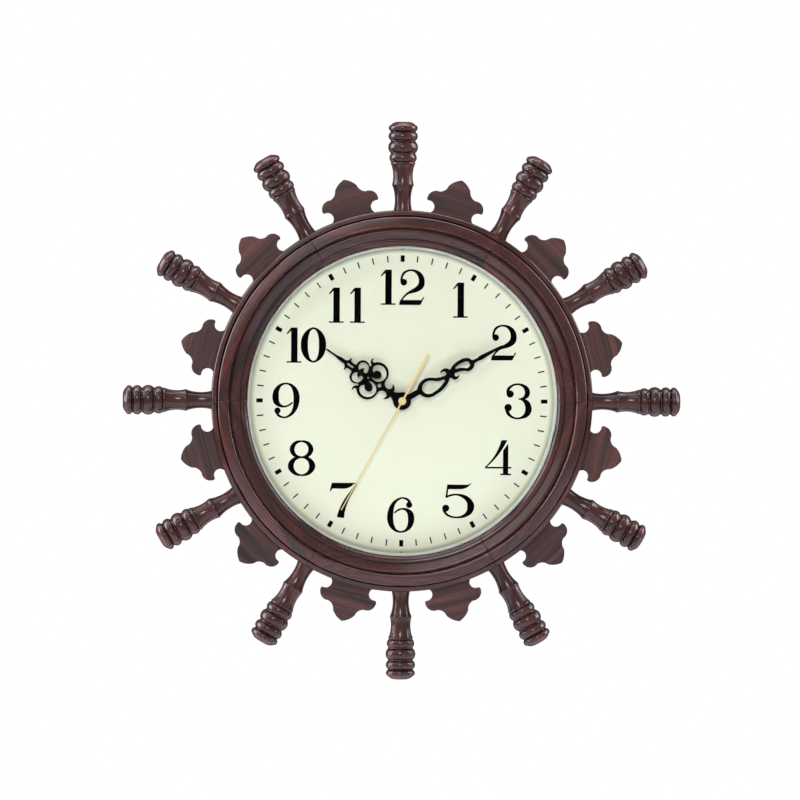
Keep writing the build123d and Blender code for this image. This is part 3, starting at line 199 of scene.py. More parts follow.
# Piece with one material, its normals out; edges sharper than an angle stay sharp
def meshObject(name, points, faces, material, smoothAngle=35, hollow=None):
    mesh = bpy.data.meshes.new(name)
    mesh.from_pydata(np.asarray(points).tolist(), [], faces)
    # The hollow attribute carries the painted shade of grooves and valleys
    if hollow is not None:
        stain = mesh.attributes.new("hollow", "FLOAT", "POINT")
        stain.data.foreach_set("value", hollow.ravel().astype(np.float32))
    solid = bmesh.new()
    solid.from_mesh(mesh)
    bmesh.ops.remove_doubles(solid, verts=solid.verts, dist=samePoint)
    bmesh.ops.recalc_face_normals(solid, faces=solid.faces)
    solid.to_mesh(mesh)
    solid.free()
    mesh.shade_smooth()
    mesh.set_sharp_from_angle(angle=math.radians(smoothAngle))
    mesh.materials.append(material)
    piece = bpy.data.objects.new(name, mesh)
    bpy.context.scene.collection.objects.link(piece)
    return piece


# Quads of a grid of points, rows by columns, closed from the last column to the first
def gridFaces(rows, columns):
    row, column = np.meshgrid(np.arange(rows - 1), np.arange(columns), indexing="ij")
    following = (column + 1) % columns
    quads = [row * columns + column, row * columns + following]
    quads += [(row + 1) * columns + following, (row + 1) * columns + column]
    return np.stack(quads, -1).reshape(-1, 4).tolist()


# Prism over an outline of (x, z), from one y to another
def prismMesh(outline, yValues):
    layers = [np.insert(outline, 1, y, axis=1) for y in yValues]
    count = len(outline)
    faces = gridFaces(2, count) + [list(range(count)), list(range(count, 2 * count))]
    return np.concatenate(layers), faces


# Wood: long streaks along the grain, broad bands across it and short pores. The turned pieces have painted
# shade in their hollows and a lacquer, which is dull there and fades towards the silhouettes. The flat
# pieces have a satin face with a little wave in it.
wood = dict(
    turned=dict(
        dark=(0.0070, 0.0014, 0.0013), middle=(0.0350, 0.0072, 0.0060), light=(0.1080, 0.0240, 0.0180),
        contrast=0.9, roughness=0.36, specular=0.0,
        # The hollows' colour is painted shade, darker where a groove or valley lies
        hollowPaintedShade=(0.0022, 0.0008, 0.0008), hollowDullness=0.8,
        glossEnds=(0.40, 0.80), coatRoughness=0.18, coatIor=1.36,
    ),
    flat=dict(
        dark=(0.0210, 0.0150, 0.0145), middle=(0.0630, 0.0290, 0.0280), light=(0.1300, 0.0510, 0.0450),
        contrast=1.4, roughness=0.38, specular=0.20,
        waveLength=0.008, waveHeight=3e-6, poreDepth=6e-6,
    ),
    streakLength=0.060, streakWidth=0.0009, streakShare=0.9, streakRoughness=0.6,
    bandLength=0.300, bandWidth=0.009, bandShare=1.1, bandDistortion=0.6, bandRoughness=0.10,
    poreLength=0.007, poreWidth=0.00032, poreEnds=(0.60, 0.70), poreDarkness=0.55, poreRoughness=0.06,
    toneEnds=(0.12, 0.88), shifts=(3.7, 5.3, 7.1),
)


# Tone = 0.5 + contrast (streak share (streaks - 0.5) + band share (bands - 0.5)), from dark to light
def woodFinish(name, palette, angle, alongX, seed):
    finish = Finish(name)
    tones = wood[palette]

    def stretched(length, width, number):
        stretch = (1 / length, 1 / width, 1 / width) if alongX else (1 / width, 1 / width, 1 / length)
        return finish.place(angle, stretch, tuple(number * shift for shift in wood["shifts"]))

    streakPlace = stretched(wood["streakLength"], wood["streakWidth"], seed)
    bandPlace = stretched(wood["bandLength"], wood["bandWidth"], seed + 1)
    porePlace = stretched(wood["poreLength"], wood["poreWidth"], seed + 2)
    streaks = finish.noise(streakPlace, detail=3, roughness=wood["streakRoughness"])
    bands = finish.noise(bandPlace, detail=2, distortion=wood["bandDistortion"])
    pores = finish.step(finish.noise(porePlace, detail=1), *wood["poreEnds"])
    tone = (streaks - 0.5) * (wood["streakShare"] * tones["contrast"])
    tone += (bands - 0.5) * (wood["bandShare"] * tones["contrast"]) + 0.5
    low, high = wood["toneEnds"]
    colour = finish.ramp(tone, [(low, tones["dark"]), (0.5, tones["middle"]), (high, tones["light"])])
    colour = finish.mix(pores * wood["poreDarkness"], colour, tones["dark"])
    roughness = (bands - 0.5) * wood["bandRoughness"] + pores * wood["poreRoughness"] + tones["roughness"]
    sockets = {"Roughness": roughness, "Specular IOR Level": tones["specular"]}
    if palette == "turned":
        facing = finish.node("ShaderNodeLayerWeight", {}, {"Blend": 0.5}, "Facing")
        hollow = finish.node("ShaderNodeAttribute", {"attribute_name": "hollow"}, {}, "Fac")
        # Painted shade: the colour darkens towards the hollows' colour where the hollow attribute is high
        colour = finish.mix(hollow, colour, tones["hollowPaintedShade"])
        edge = finish.step(facing, *tones["glossEnds"])
        sockets["Coat Weight"] = (1 - hollow * tones["hollowDullness"]) * (1 - edge)
        sockets["Coat Roughness"] = tones["coatRoughness"]
        sockets["Coat IOR"] = tones["coatIor"]
    else:
        waves = finish.noise(finish.place(angle), scale=1 / tones["waveLength"], detail=1)
        sockets["Normal"] = finish.bump(waves * tones["waveHeight"] - pores * tones["poreDepth"], 1.0)
    return finish.surface({"Base Color": colour, **sockets})


# How hollow a profile is at each point: its distance below the highest point of the profile within a
# reach to either side, from a least depth (0) to a full one (1)
def hollowness(places, heights, reach, least, full):
    near = np.abs(places[:, None] - places[None, :]) < reach
    highest = np.where(near, heights[None, :], -np.inf).max(1)
    return np.clip((highest - heights - least) / (full - least), 0, 1)


# Ring: its section is made of (radius, depth). A band's runs are shares of its width, from the outside
# inwards, and of its rise. A turn is where a band's convex front passes into its hollow.
ring = dict(
    rimRadius=0.1907, rimWidth=0.0055, rimSide=0.0265, rimFront=0.0305, backRound=0.0015,
    rimShares=[
        [(0.000, 0.000), (0.089, 0.412), (0.327, 0.691)],
        [(0.327, 0.691), (0.800, 0.980)],
        [(0.800, 0.980), (0.908, 0.994), (1.000, 0.915)],
    ],
    grooveWidth=0.0010, grooveBottom=0.0275,
    outerWidth=0.0122, outerEdge=0.0402, outerTop=0.046,
    outerShares=[
        [(0.000, 0.000), (0.030, 0.226), (0.112, 0.382)],
        [(0.112, 0.382), (0.700, 0.977)],
        [(0.700, 0.977), (0.769, 0.996), (0.830, 0.924)],
        [(0.830, 0.924), (0.920, 0.722)],
        [(0.920, 0.722), (1.000, 0.384)],
    ],
    valley=0.0006, middleWidth=0.009, middleEdge=0.0428, middleCrown=0.0442, middleFoot=0.0402,
    middleCrownShare=0.15, middleTurnShares=(0.34, 0.88),
    beadWidth=0.0071, beadEdge=0.0398, beadCrown=0.0409, lipFront=0.0368,
    beadCrownShare=0.15, beadTurnShares=(0.73, 0.57),
    glassSeat=0.0043, glassSeatDepth=0.0335, dialLedge=0.007, dialLedgeDepth=0.020,
    coverLedge=0.007, coverDepth=0.003,
    segments=6, firstJoint=30, jointGap=0.00012, jointRound=0.00035, firstSeed=10,
    # Painted shade in the grooves and valleys: how far it reaches, how deep it grows full, and between
    # which depths
    hollowReach=0.0011, hollowDepths=(0.0, 0.0050), hollowBack=0.024, hollowFront=0.0365,
    steps=200, endSteps=4, arcSteps=10, smallArcSteps=8, backSteps=5, smoothAngle=40,
)


# Points of a band: radius = outside - share of the width, and depth = low + share of the rise
def bandPoints(runs, outside, width, low, high):
    return runsToPoints(runs, -width, high - low, low, ring["smallArcSteps"]) + (outside, 0)


# Section from the back cover's ledge out round the rim, over the groove and the three bands, then back
# through the opening past the seat of the glass and the dial's ledge
def ringSection():
    r = ring
    steps, smallSteps = r["arcSteps"], r["smallArcSteps"]
    rim = r["rimRadius"]
    rimInner = rim - r["rimWidth"]
    outer = rimInner - r["grooveWidth"]
    outerInner = outer - r["outerWidth"]
    middle = outerInner - r["valley"]
    middleInner = middle - r["middleWidth"]
    crown = middle - r["middleWidth"] * r["middleCrownShare"]
    middleFall = r["middleCrown"] - r["middleFoot"]
    turn = (
        middle - r["middleWidth"] * r["middleTurnShares"][0],
        r["middleFoot"] + middleFall * r["middleTurnShares"][1],
    )
    bead = middleInner - r["valley"]
    opening = bead - r["beadWidth"]
    beadCrown = bead - r["beadWidth"] * r["beadCrownShare"]
    beadFall = r["beadCrown"] - r["lipFront"]
    beadTurn = (
        bead - r["beadWidth"] * r["beadTurnShares"][0],
        r["lipFront"] + beadFall * r["beadTurnShares"][1],
    )
    rebate = opening + r["glassSeat"]
    cavity = rebate + r["dialLedge"]
    cover = cavity + r["coverLedge"]
    middleDrop = arcTangent((crown, r["middleCrown"]), turn, (-1, 0), steps)
    beadDrop = arcTangent((beadCrown, r["beadCrown"]), beadTurn, (-1, 0), steps)
    return joined(
        [(cover, 0)],
        arcTangent((rim - r["backRound"], 0), (rim, r["backRound"]), (1, 0), r["backSteps"]),
        bandPoints(r["rimShares"], rim, r["rimWidth"], r["rimSide"], r["rimFront"]),
        [(rimInner, r["grooveBottom"]), (outer, r["grooveBottom"])],
        bandPoints(r["outerShares"], outer, r["outerWidth"], r["outerEdge"], r["outerTop"]),
        [(outerInner, r["middleEdge"] - r["valley"]), (middle, r["middleEdge"] - r["valley"])],
        arcTangent((middle, r["middleEdge"]), (crown, r["middleCrown"]), (0, 1), steps),
        middleDrop,
        arcTangent(turn, (middleInner, r["middleFoot"]), leaving(middleDrop), steps),
        [(middleInner, r["beadEdge"] - r["valley"]), (bead, r["beadEdge"] - r["valley"])],
        arcTangent((bead, r["beadEdge"]), (beadCrown, r["beadCrown"]), (0, 1), smallSteps),
        beadDrop,
        arcTangent(beadTurn, (opening, r["lipFront"]), leaving(beadDrop), smallSteps),
        [
            (opening, r["glassSeatDepth"]), (rebate, r["glassSeatDepth"]), (rebate, r["dialLedgeDepth"]),
            (cavity, r["dialLedgeDepth"]), (cavity, r["coverDepth"]), (cover, r["coverDepth"]),
        ],
    )


# Turn of a section about the clock's axis: x = radius sin(angle), y = -depth, z = radius cos(angle).
# Near each end the section shrinks by a quarter circle, which rounds the joint's edge a little.
def ringSegment(name, start, end, material):
    section = ringSection()
    gap = math.degrees(ring["jointGap"] / ring["rimRadius"])
    rounding = math.degrees(ring["jointRound"] / ring["rimRadius"])
    easing = np.linspace(0, math.pi / 2, ring["endSteps"])
    near = start + gap + rounding * (1 - np.cos(easing))
    far = (end - gap - rounding * (1 - np.cos(easing)))[::-1]
    angles = np.concatenate([near, np.linspace(near[-1], far[0], ring["steps"])[1:-1], far])
    inset = ring["jointRound"] * (1 - np.sin(easing))
    insets = np.concatenate([inset, np.zeros(len(angles) - 2 * len(inset)), inset[::-1]])
    # Outward direction at each point of the section, from the directions of its two sides
    along = np.roll(section, -1, 0) - np.roll(section, 1, 0)
    normal = np.stack([along[:, 1], -along[:, 0]], 1) / np.hypot(*along.T)[:, None]
    radius = section[None, :, 0] - insets[:, None] * normal[None, :, 0]
    depth = section[None, :, 1] - insets[:, None] * normal[None, :, 1]
    turn = np.radians(angles)[:, None]
    points = np.stack([radius * np.sin(turn), -depth, radius * np.cos(turn)], -1).reshape(-1, 3)
    rows, columns = len(angles), len(section)
    faces = gridFaces(rows, columns)
    faces += [list(range(columns)), list(range((rows - 1) * columns, rows * columns))]
    # Painted shade: how far each point of the section lies below the nearest crowns, within the front's
    # depths
    depths = section[:, 1]
    hollow = hollowness(section[:, 0], depths, ring["hollowReach"], *ring["hollowDepths"])
    hollow *= (depths > ring["hollowBack"]) & (depths < ring["hollowFront"])
    return meshObject(name, points, faces, material, ring["smoothAngle"], np.tile(hollow, rows))


# Recess for the hanger in the back of the top segment, with the pocket for the nail's head
recess = dict(
    node="hanger_plate", clearance=0.0002, corner=0.0032,
    pocketRadius=0.0038, pocketRise=0.0004, pocketHalfHeight=0.0058, pocketDepth=0.008,
    steps=40, beyondWall=0.001,
)


# Block that stands on the wall, its four edges rounded: its outline is a small circle about the origin,
# each quarter of which is moved out to its own corner
def recessCutter(name, centre, halfWidth, halfHeight, corner, depth, material):
    turn = np.linspace(0, 2 * math.pi, recess["steps"], endpoint=False)
    circle = np.round(np.stack([np.cos(turn), np.sin(turn)], 1), 6)
    moved = np.sign(circle) * (halfWidth - corner, halfHeight - corner)
    outline = np.array(centre) + corner * circle + moved
    return meshObject(name, *prismMesh(outline, (recess["beyondWall"], -depth)), material)


# Cuts recess and pocket out of a segment, and keeps the cut mesh as its own
def cutRecess(segment, material):
    low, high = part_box(recess["node"])
    centre = ((low[0] + high[0]) / 2, (low[2] + high[2]) / 2)
    halfWidth = (high[0] - low[0]) / 2 + recess["clearance"]
    halfHeight = (high[2] - low[2]) / 2 + recess["clearance"]
    pocket = (centre[0], centre[1] + recess["pocketRise"])
    radius, rise = recess["pocketRadius"], recess["pocketHalfHeight"]
    cutters = [
        recessCutter("recessCutter", centre, halfWidth, halfHeight, recess["corner"], -low[1], material),
        recessCutter("pocketCutter", pocket, radius, rise, radius, recess["pocketDepth"], material),
    ]
    for cutter in cutters:
        cut = segment.modifiers.new("recess", "BOOLEAN")
        cut.object = cutter
        cut.solver = "EXACT"
    graph = bpy.context.evaluated_depsgraph_get()
    graph.update()
    whole = bpy.data.meshes.new_from_object(segment.evaluated_get(graph))
    segment.modifiers.clear()
    segment.data = whole
    for cutter in cutters:
        bpy.data.objects.remove(cutter)


def makeRing():
    step = 360 / ring["segments"]
    for index in range(ring["segments"]):
        start = ring["firstJoint"] + index * step
        name = f"ring_segment_{index + 1}"
        seed = index + ring["firstSeed"]
        finish = woodFinish(f"ringWood{index + 1}", "turned", start + step / 2, True, seed)
        segment = ringSegment(f"turned_{name}", start, start + step, finish)
        if index == ring["segments"] - 1:
            cutRecess(segment, finish)
        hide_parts(name)
        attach(segment, "case")
    print("ring made")


# Pale ring between the dial and the glass, its inner wall leaning outwards towards the glass
spacer = dict(
    outer=0.1587, dialRadius=0.1523, glassRadius=0.1535, back=0.0205, front=0.0315,
    edgeRound=0.0004, footRise=0.0001, footShare=0.02,
    plastic=dict(colour=(0.66, 0.67, 0.64), roughness=0.30, speck=0.02, specular=0.4),
    steps=240, arcSteps=5, smoothAngle=30,
)


# Turn of a section about the clock's axis, all the way round: as the ring's, without ends
def makeSpacer():
    s = spacer
    lean = s["glassRadius"] - s["dialRadius"]
    edge = s["glassRadius"] + s["edgeRound"], s["front"]
    wall = s["glassRadius"], s["front"] - s["edgeRound"]
    foot = s["dialRadius"] + lean * s["footShare"], s["back"] + s["footRise"]
    section = joined(
        [(s["outer"], s["back"]), (s["outer"], s["front"])],
        arcTangent(edge, wall, (-1, 0), s["arcSteps"]),
        [foot, (s["dialRadius"], s["back"])],
    )
    turn = np.linspace(0, 2 * math.pi, s["steps"] + 1)[:, None]
    radius, depth = section[None, :, 0], section[None, :, 1]
    points = np.stack([radius * np.sin(turn), -depth + 0 * turn, radius * np.cos(turn)], -1)
    faces = gridFaces(*points.shape[:2])
    finish = plainFinish("whitePlastic", **s["plastic"])
    piece = meshObject("turned_glass_spacer", points.reshape(-1, 3), faces, finish, s["smoothAngle"])
    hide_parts("glass_spacer")
    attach(piece, "case")
    print("spacer made")


# Handles: profile as shares of the length and of the largest radius
handle = dict(
    count=12, seat=0.1904, length=0.0886, radius=0.0149, depth=0.016,
    tenonRadius=0.005, tenonLength=0.015, tenonChamfer=0.001, firstSeed=30,
    # Painted shade in the valleys between the beads, short of the tip
    hollowReach=0.0010, hollowDepths=(0.00025, 0.0009), hollowEnd=0.95,
    around=128, arcSteps=12, smoothAngle=32,
    profileShares=[
        [(0.000, 0.624), (0.125, 0.534), (0.272, 0.682)],
        [(0.272, 0.690), (0.293, 0.725), (0.314, 0.690)],
        [(0.314, 0.695), (0.400, 0.656), (0.520, 0.792)],
        [(0.520, 0.800), (0.532, 0.826), (0.544, 0.800)],
        [(0.544, 0.775), (0.591, 0.920), (0.636, 0.835)],
        [(0.636, 0.815), (0.644, 0.835), (0.652, 0.815)],
        [(0.652, 0.840), (0.711, 1.000), (0.774, 0.850)],
        [(0.774, 0.815), (0.783, 0.838), (0.792, 0.815)],
        [(0.792, 0.850), (0.838, 0.985), (0.882, 0.865)],
        [(0.882, 0.825), (0.890, 0.845), (0.898, 0.825)],
        [(0.898, 0.870), (0.934, 0.975), (0.966, 0.820)],
        [(0.966, 0.820), (0.990, 0.626), (1.000, 0.403)],
    ],
)


# Profile turned about a radius of the clock: point = (seat + along) out + across cos(turn) side + (depth +
# across sin(turn)) front, where out is the radius, side its clockwise normal and front the viewer's way
def makeHandles():
    h = handle
    runs = [[(across, along) for along, across in run] for run in h["profileShares"]]
    turned = runsToPoints(runs, h["radius"], h["length"], 0.0, h["arcSteps"])
    tenon = [
        (0, -h["tenonLength"]),
        (h["tenonRadius"] - h["tenonChamfer"], -h["tenonLength"]),
        (h["tenonRadius"], h["tenonChamfer"] - h["tenonLength"]),
        (h["tenonRadius"], 0),
    ]
    profile = joined(tenon, turned, [(0, h["length"])])
    across, along = profile.T[:, :, None, None]
    turn = np.linspace(0, 2 * math.pi, h["around"], endpoint=False)[None, :, None]
    # Painted shade: how far each point of the profile lies below the nearest beads' crowns
    hollow = hollowness(profile[:, 1], profile[:, 0], h["hollowReach"], *h["hollowDepths"])
    hollow *= profile[:, 1] < h["length"] * h["hollowEnd"]
    hollow = np.repeat(hollow, h["around"])
    front = np.array([0, -1, 0])
    for index in range(h["count"]):
        angle = index * 360 / h["count"]
        hour = index or h["count"]
        sine, cosine = math.sin(math.radians(angle)), math.cos(math.radians(angle))
        out, side = np.array([sine, 0, cosine]), np.array([cosine, 0, -sine])
        points = (h["seat"] + along) * out + across * np.cos(turn) * side
        points = points + (h["depth"] + across * np.sin(turn)) * front
        node = f"handle_{hour:02d}"
        finish = woodFinish(f"handleWood{hour}", "turned", angle, False, index + h["firstSeed"])
        faces = gridFaces(*points.shape[:2])
        piece = meshObject(f"turned_{node}", points.reshape(-1, 3), faces, finish, h["smoothAngle"], hollow)
        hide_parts(node)
        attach(piece, "case")
    print("handles made")


# Flat boards between the handles: half outline as shares of the half width and of the height
ornament = dict(
    count=12, rimRadius=0.1907, height=0.0379, halfWidth=0.0287, thickness=0.008, depth=0.012,
    footHalfWidth=0.0236, sink=0.0006, middleSink=0.0018, firstSeed=50,
    edgeRound=0.0007, edgeSteps=3, edgeAngle=50, arcSteps=9, notchSteps=10, smoothAngle=30,
    outlineShares=[
        [(0.000, 1.000), (0.233, 0.905), (0.390, 0.773)],
        [(0.390, 0.773), (0.468, 0.644), (0.645, 0.565)],
        [(0.645, 0.565), (0.899, 0.509), (1.000, 0.351)],
        [(1.000, 0.351), (0.997, 0.296), (0.958, 0.261)],
        [(0.958, 0.261), (0.878, 0.266)],
    ],
    notchShares=(0.676, 0.124),
)


# Prism over the mirrored outline, its foot sunk a little into the rim, with its edges rounded
def makeOrnaments():
    o = ornament
    rim = o["rimRadius"]
    half = runsToPoints(o["outlineShares"], o["halfWidth"], o["height"], rim, o["arcSteps"])
    foot = (o["footHalfWidth"], math.sqrt(rim**2 - o["footHalfWidth"] ** 2) - o["sink"])
    notch = (o["notchShares"][0] * o["halfWidth"], rim + o["notchShares"][1] * o["height"])
    half = joined(half, arcThree(half[-1], notch, foot, o["notchSteps"]), [(0, rim - o["middleSink"])])
    outline = joined(half, (half * (-1, 1))[::-1])[:-1]
    back = o["depth"] - o["thickness"] / 2
    for index in range(o["count"]):
        angle = (index + 0.5) * 360 / o["count"]
        sine, cosine = math.sin(math.radians(angle)), math.cos(math.radians(angle))
        turned = outline @ [[cosine, -sine], [sine, cosine]]
        points, faces = prismMesh(turned, (-back, -back - o["thickness"]))
        finish = woodFinish(f"ornamentWood{index + 1}", "flat", angle, True, index + o["firstSeed"])
        node = f"ornament_{index + 1:02d}"
        piece = meshObject(f"shaped_{node}", points, faces, finish, o["smoothAngle"])
        bevel = piece.modifiers.new("edge", "BEVEL")
        bevel.width = o["edgeRound"]
        bevel.segments = o["edgeSteps"]
        bevel.limit_method = "ANGLE"
        bevel.angle_limit = math.radians(o["edgeAngle"])
        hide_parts(node)
        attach(piece, "case")
    print("flat boards made")


# Print on the dial. A numeral is drawn in millimetres from its lower left corner: a pen stroke is a list
# of (across, up, width), a ball is (across, up, radius), and a patch is an outline of lines and arcs.
numerals = dict(
    strokes={
        "0": [
            [(13.4, 34.9, 1.8), (9.6, 33.4, 2.6), (5.6, 28.0, 5.4), (3.7, 18.0, 7.2), (5.6, 7.8, 5.4),
             (9.6, 2.4, 2.5), (13.4, 0.9, 1.7)],
            [(12.2, 34.9, 1.8), (16.0, 33.4, 2.6), (20.0, 28.0, 5.4), (21.9, 18.0, 7.3), (20.0, 7.8, 5.4),
             (16.0, 2.4, 2.5), (12.2, 0.9, 1.7)],
        ],
        "1": [
            [(8.25, 0.3, 6.5), (8.25, 35.3, 6.5)],
            [(5.8, 34.4, 2.2), (0.9, 28.9, 1.4)],
            [(0.6, 0.85, 1.5), (15.3, 0.85, 1.5)],
        ],
        "2": [
            [(2.9, 23.0, 2.8), (2.9, 28.0, 2.2), (5.1, 32.3, 2.4), (9.0, 34.5, 2.0), (12.7, 35.0, 1.9),
             (17.4, 33.5, 3.2), (21.1, 30.0, 4.9), (22.8, 25.0, 5.9), (22.0, 19.8, 6.2),
             (18.0, 16.0, 5.2), (13.5, 14.0, 3.8), (9.3, 12.1, 2.4), (5.3, 8.6, 1.9), (2.8, 5.2, 1.8),
             (1.6, 2.6, 2.0)],
        ],
        "3": [
            [(3.6, 26.0, 2.8), (4.0, 29.9, 3.0), (6.5, 32.8, 2.4), (10.2, 34.7, 2.0), (14.1, 35.1, 1.9),
             (18.5, 33.8, 3.0), (22.0, 30.7, 4.7), (23.2, 27.0, 5.2), (22.0, 23.2, 4.5),
             (18.6, 20.9, 2.4), (14.2, 20.5, 1.1)],
            [(14.2, 20.3, 1.1), (18.6, 19.4, 2.4), (22.1, 17.0, 5.0), (24.1, 12.5, 6.2), (24.2, 8.8, 6.4),
             (22.0, 4.5, 5.0), (18.0, 1.9, 2.7), (13.1, 0.9, 1.8), (8.0, 2.2, 2.3), (4.3, 5.4, 3.2),
             (2.6, 9.6, 3.6)],
        ],
        "4": [
            [(16.0, 0.9, 1.6), (27.0, 0.9, 1.6)],
            [(0.7, 7.6, 1.7), (27.2, 7.6, 1.7)],
        ],
        "5": [
            [(4.2, 21.2, 2.0), (9.2, 23.2, 2.0), (14.2, 23.8, 1.8), (22.2, 21.6, 3.9), (26.9, 17.7, 5.3),
             (28.8, 12.3, 7.1), (27.4, 6.8, 5.8), (23.0, 2.9, 3.6), (18.0, 1.2, 2.2), (14.2, 0.9, 1.8),
             (8.4, 1.9, 2.1), (3.9, 4.7, 2.4), (1.8, 9.0, 3.2)],
        ],
        "6": [
            [(23.1, 28.4, 2.9), (21.0, 32.6, 2.6), (15.2, 34.9, 1.8), (8.6, 31.9, 2.8), (4.8, 26.4, 4.5),
             (3.1, 19.0, 6.0), (3.0, 13.0, 6.1), (4.8, 7.0, 4.9), (8.6, 2.4, 2.7), (13.6, 0.9, 1.8),
             (18.6, 2.4, 2.7), (22.5, 7.0, 4.9), (23.9, 13.5, 6.4), (22.8, 19.6, 5.7), (19.6, 22.8, 3.5),
             (15.0, 24.0, 1.9), (10.8, 22.7, 1.9), (7.0, 19.7, 1.5)],
        ],
        "7": [
            [(11.1, 0.0, 7.3), (11.4, 2.0, 7.0), (12.6, 7.0, 6.2), (15.2, 14.0, 5.0), (18.9, 21.0, 3.8),
             (23.2, 28.0, 2.6), (26.9, 34.3, 1.9)],
        ],
        "8": [
            [(14.2, 34.9, 1.5), (6.5, 32.0, 3.8), (4.2, 26.6, 4.9), (6.6, 21.3, 3.8), (14.1, 18.9, 1.4)],
            [(13.2, 34.9, 1.5), (20.8, 32.0, 3.9), (23.1, 26.6, 5.1), (20.6, 21.3, 3.9),
             (13.1, 18.9, 1.4)],
            [(14.3, 18.8, 1.4), (5.9, 16.1, 4.2), (2.9, 10.0, 5.9), (6.2, 3.6, 4.0), (14.3, 0.8, 1.5)],
            [(13.3, 18.8, 1.4), (21.6, 16.1, 4.3), (24.5, 10.0, 6.3), (21.4, 3.6, 4.1), (13.3, 0.8, 1.5)],
        ],
    },
    balls={
        "2": [(4.9, 23.0, 3.3)],
        "3": [(5.9, 25.3, 3.65), (3.85, 11.7, 3.75)],
        "5": [(3.7, 10.2, 3.55)],
        "6": [(21.9, 28.0, 3.15)],
    },
    patches={
        "2": [
            [[(0.0, 0.2), (1.2, 5.2)], [(22.7, 5.2), (24.0, 8.1)], [(25.5, 7.9), (21.6, 0.2)]],
        ],
        "4": [
            [[(17.1, 35.2), (11.9, 22.4), (0.3, 8.0)], [(2.3, 8.0), (16.3, 23.5), (23.1, 35.2)]],
            [[(18.7, 0.3), (18.7, 24.9)], [(24.0, 31.9), (24.0, 0.3)]],
        ],
        "5": [
            [[(5.1, 33.9), (24.6, 33.7)], [(24.6, 33.7), (27.2, 34.3), (29.0, 35.7)],
             [(29.4, 35.1), (24.3, 30.6), (17.0, 29.1)], [(17.0, 29.1), (5.2, 29.1)]],
            [[(5.1, 33.9), (3.3, 20.9)], [(4.2, 20.3), (5.4, 22.1)], [(6.3, 29.3), (6.8, 33.9)]],
        ],
        "7": [
            [[(2.4, 34.9), (27.9, 34.9)], [(27.0, 33.0), (24.6, 34.0)],
             [(24.6, 34.0), (19.6, 30.2), (13.6, 28.9)], [(13.6, 28.9), (3.0, 29.1)]],
            [[(2.4, 34.9), (0.2, 27.2)], [(1.4, 26.2), (3.6, 30.5)]],
        ],
    },
    # Lower left corner of each figure, from the dial's centre
    places=[
        ("1", -22.3, 96.0), ("2", -3.6, 95.8), ("1", 50.1, 83.4), ("2", 88.7, 40.8), ("3", 102.5, -17.9),
        ("4", 82.8, -74.0), ("5", 40.7, -117.3), ("6", -14.1, -132.0), ("7", -72.0, -117.0),
        ("8", -113.9, -75.5), ("9", -129.9, -18.0), ("1", -116.2, 37.7), ("0", -101.6, 37.7),
        ("1", -74.1, 77.8), ("1", -53.0, 77.8),
    ],
    sixAcross=27.4, sixUp=35.9,
    curveSteps=7, ballSteps=28,
)
# Minute track, in millimetres, with a short mark at the dial's edge above the twelve and below the six
track = dict(
    marks=60, marksToHour=5, inner=139.2, outer=145.7, hourWidth=4.0, minuteWidth=1.3,
    edgeMarkAngles=(0, 180), edgeMarkInner=150.6, edgeMarkOuter=152.2, edgeMarkWidth=1.0,
)
# Ink: its layer reaches from a little behind the dial's front to a little before it, in metres
ink = dict(
    dialFront=0.0205, sink=0.00004, proud=0.00003, sameCorner=1e-5,
    paint=dict(colour=(0.0015, 0.0015, 0.0020), roughness=0.60, speck=0.15, specular=0.0),
)


# Smooth curve through points: between two of them a cubic, its end slopes those of the parabola through
# each point and its neighbours
def smoothed(points):
    points = np.array(points, float)
    if len(points) < 3:
        return points
    run = np.concatenate([[0], np.cumsum(np.hypot(*(points[1:, :2] - points[:-1, :2]).T))])
    slope = np.gradient(points, run, axis=0, edge_order=2)
    if np.allclose(points[0], points[-1]):
        slope[0] = slope[-1] = (slope[0] + slope[-1]) / 2
    share = np.linspace(0, 1, numerals["curveSteps"], endpoint=False)[None, :, None]
    length = (run[1:] - run[:-1])[:, None, None]
    a, b = points[:-1, None, :], points[1:, None, :]
    u, v = slope[:-1, None, :] * length, slope[1:, None, :] * length
    cubic = a + u * share + (3 * (b - a) - 2 * u - v) * share**2 + (2 * (a - b) + u + v) * share**3
    return np.concatenate([cubic.reshape(-1, points.shape[1]), points[-1:]])


# Pen stroke: each point of the curve with half the width to either side, as one quad to each step
def strokeQuads(stroke):
    curve = smoothed(stroke)
    along = np.gradient(curve[:, :2], axis=0)
    along /= np.hypot(*along.T)[:, None]
    across = np.stack([-along[:, 1], along[:, 0]], 1) * curve[:, 2:] / 2
    left, right = curve[:, :2] + across, curve[:, :2] - across
    return list(np.stack([left[:-1], left[1:], right[1:], right[:-1]], 1))


# Circle about the ball's middle: across + radius cos(turn), up + radius sin(turn)
def ballOutline(ball):
    turn = np.linspace(0, 2 * math.pi, numerals["ballSteps"], endpoint=False)
    return np.array(ball[:2]) + ball[2] * np.stack([np.cos(turn), np.sin(turn)], 1)


# A nine is the six turned half round within its own size
def figureOutlines(figure):
    kind = "6" if figure == "9" else figure
    outlines = [quad for stroke in numerals["strokes"].get(kind, []) for quad in strokeQuads(stroke)]
    outlines += [ballOutline(ball) for ball in numerals["balls"].get(kind, [])]
    outlines += [runsToPoints(patch, 1, 1) for patch in numerals["patches"].get(kind, [])]
    if figure == "9":
        outlines = [(numerals["sixAcross"], numerals["sixUp"]) - outline for outline in outlines]
    return outlines


# Which points lie inside an outline: to their right they have an odd number of its sides
def insideOutline(points, outline):
    x, y = points.T
    ax, ay = outline.T[:, :, None]
    bx, by = np.roll(outline, -1, 0).T[:, :, None]
    level = np.where(by == ay, 1, by - ay)
    passed = ((ay > y) != (by > y)) & (x < ax + (y - ay) * (bx - ax) / level)
    return passed.sum(0) % 2 == 1


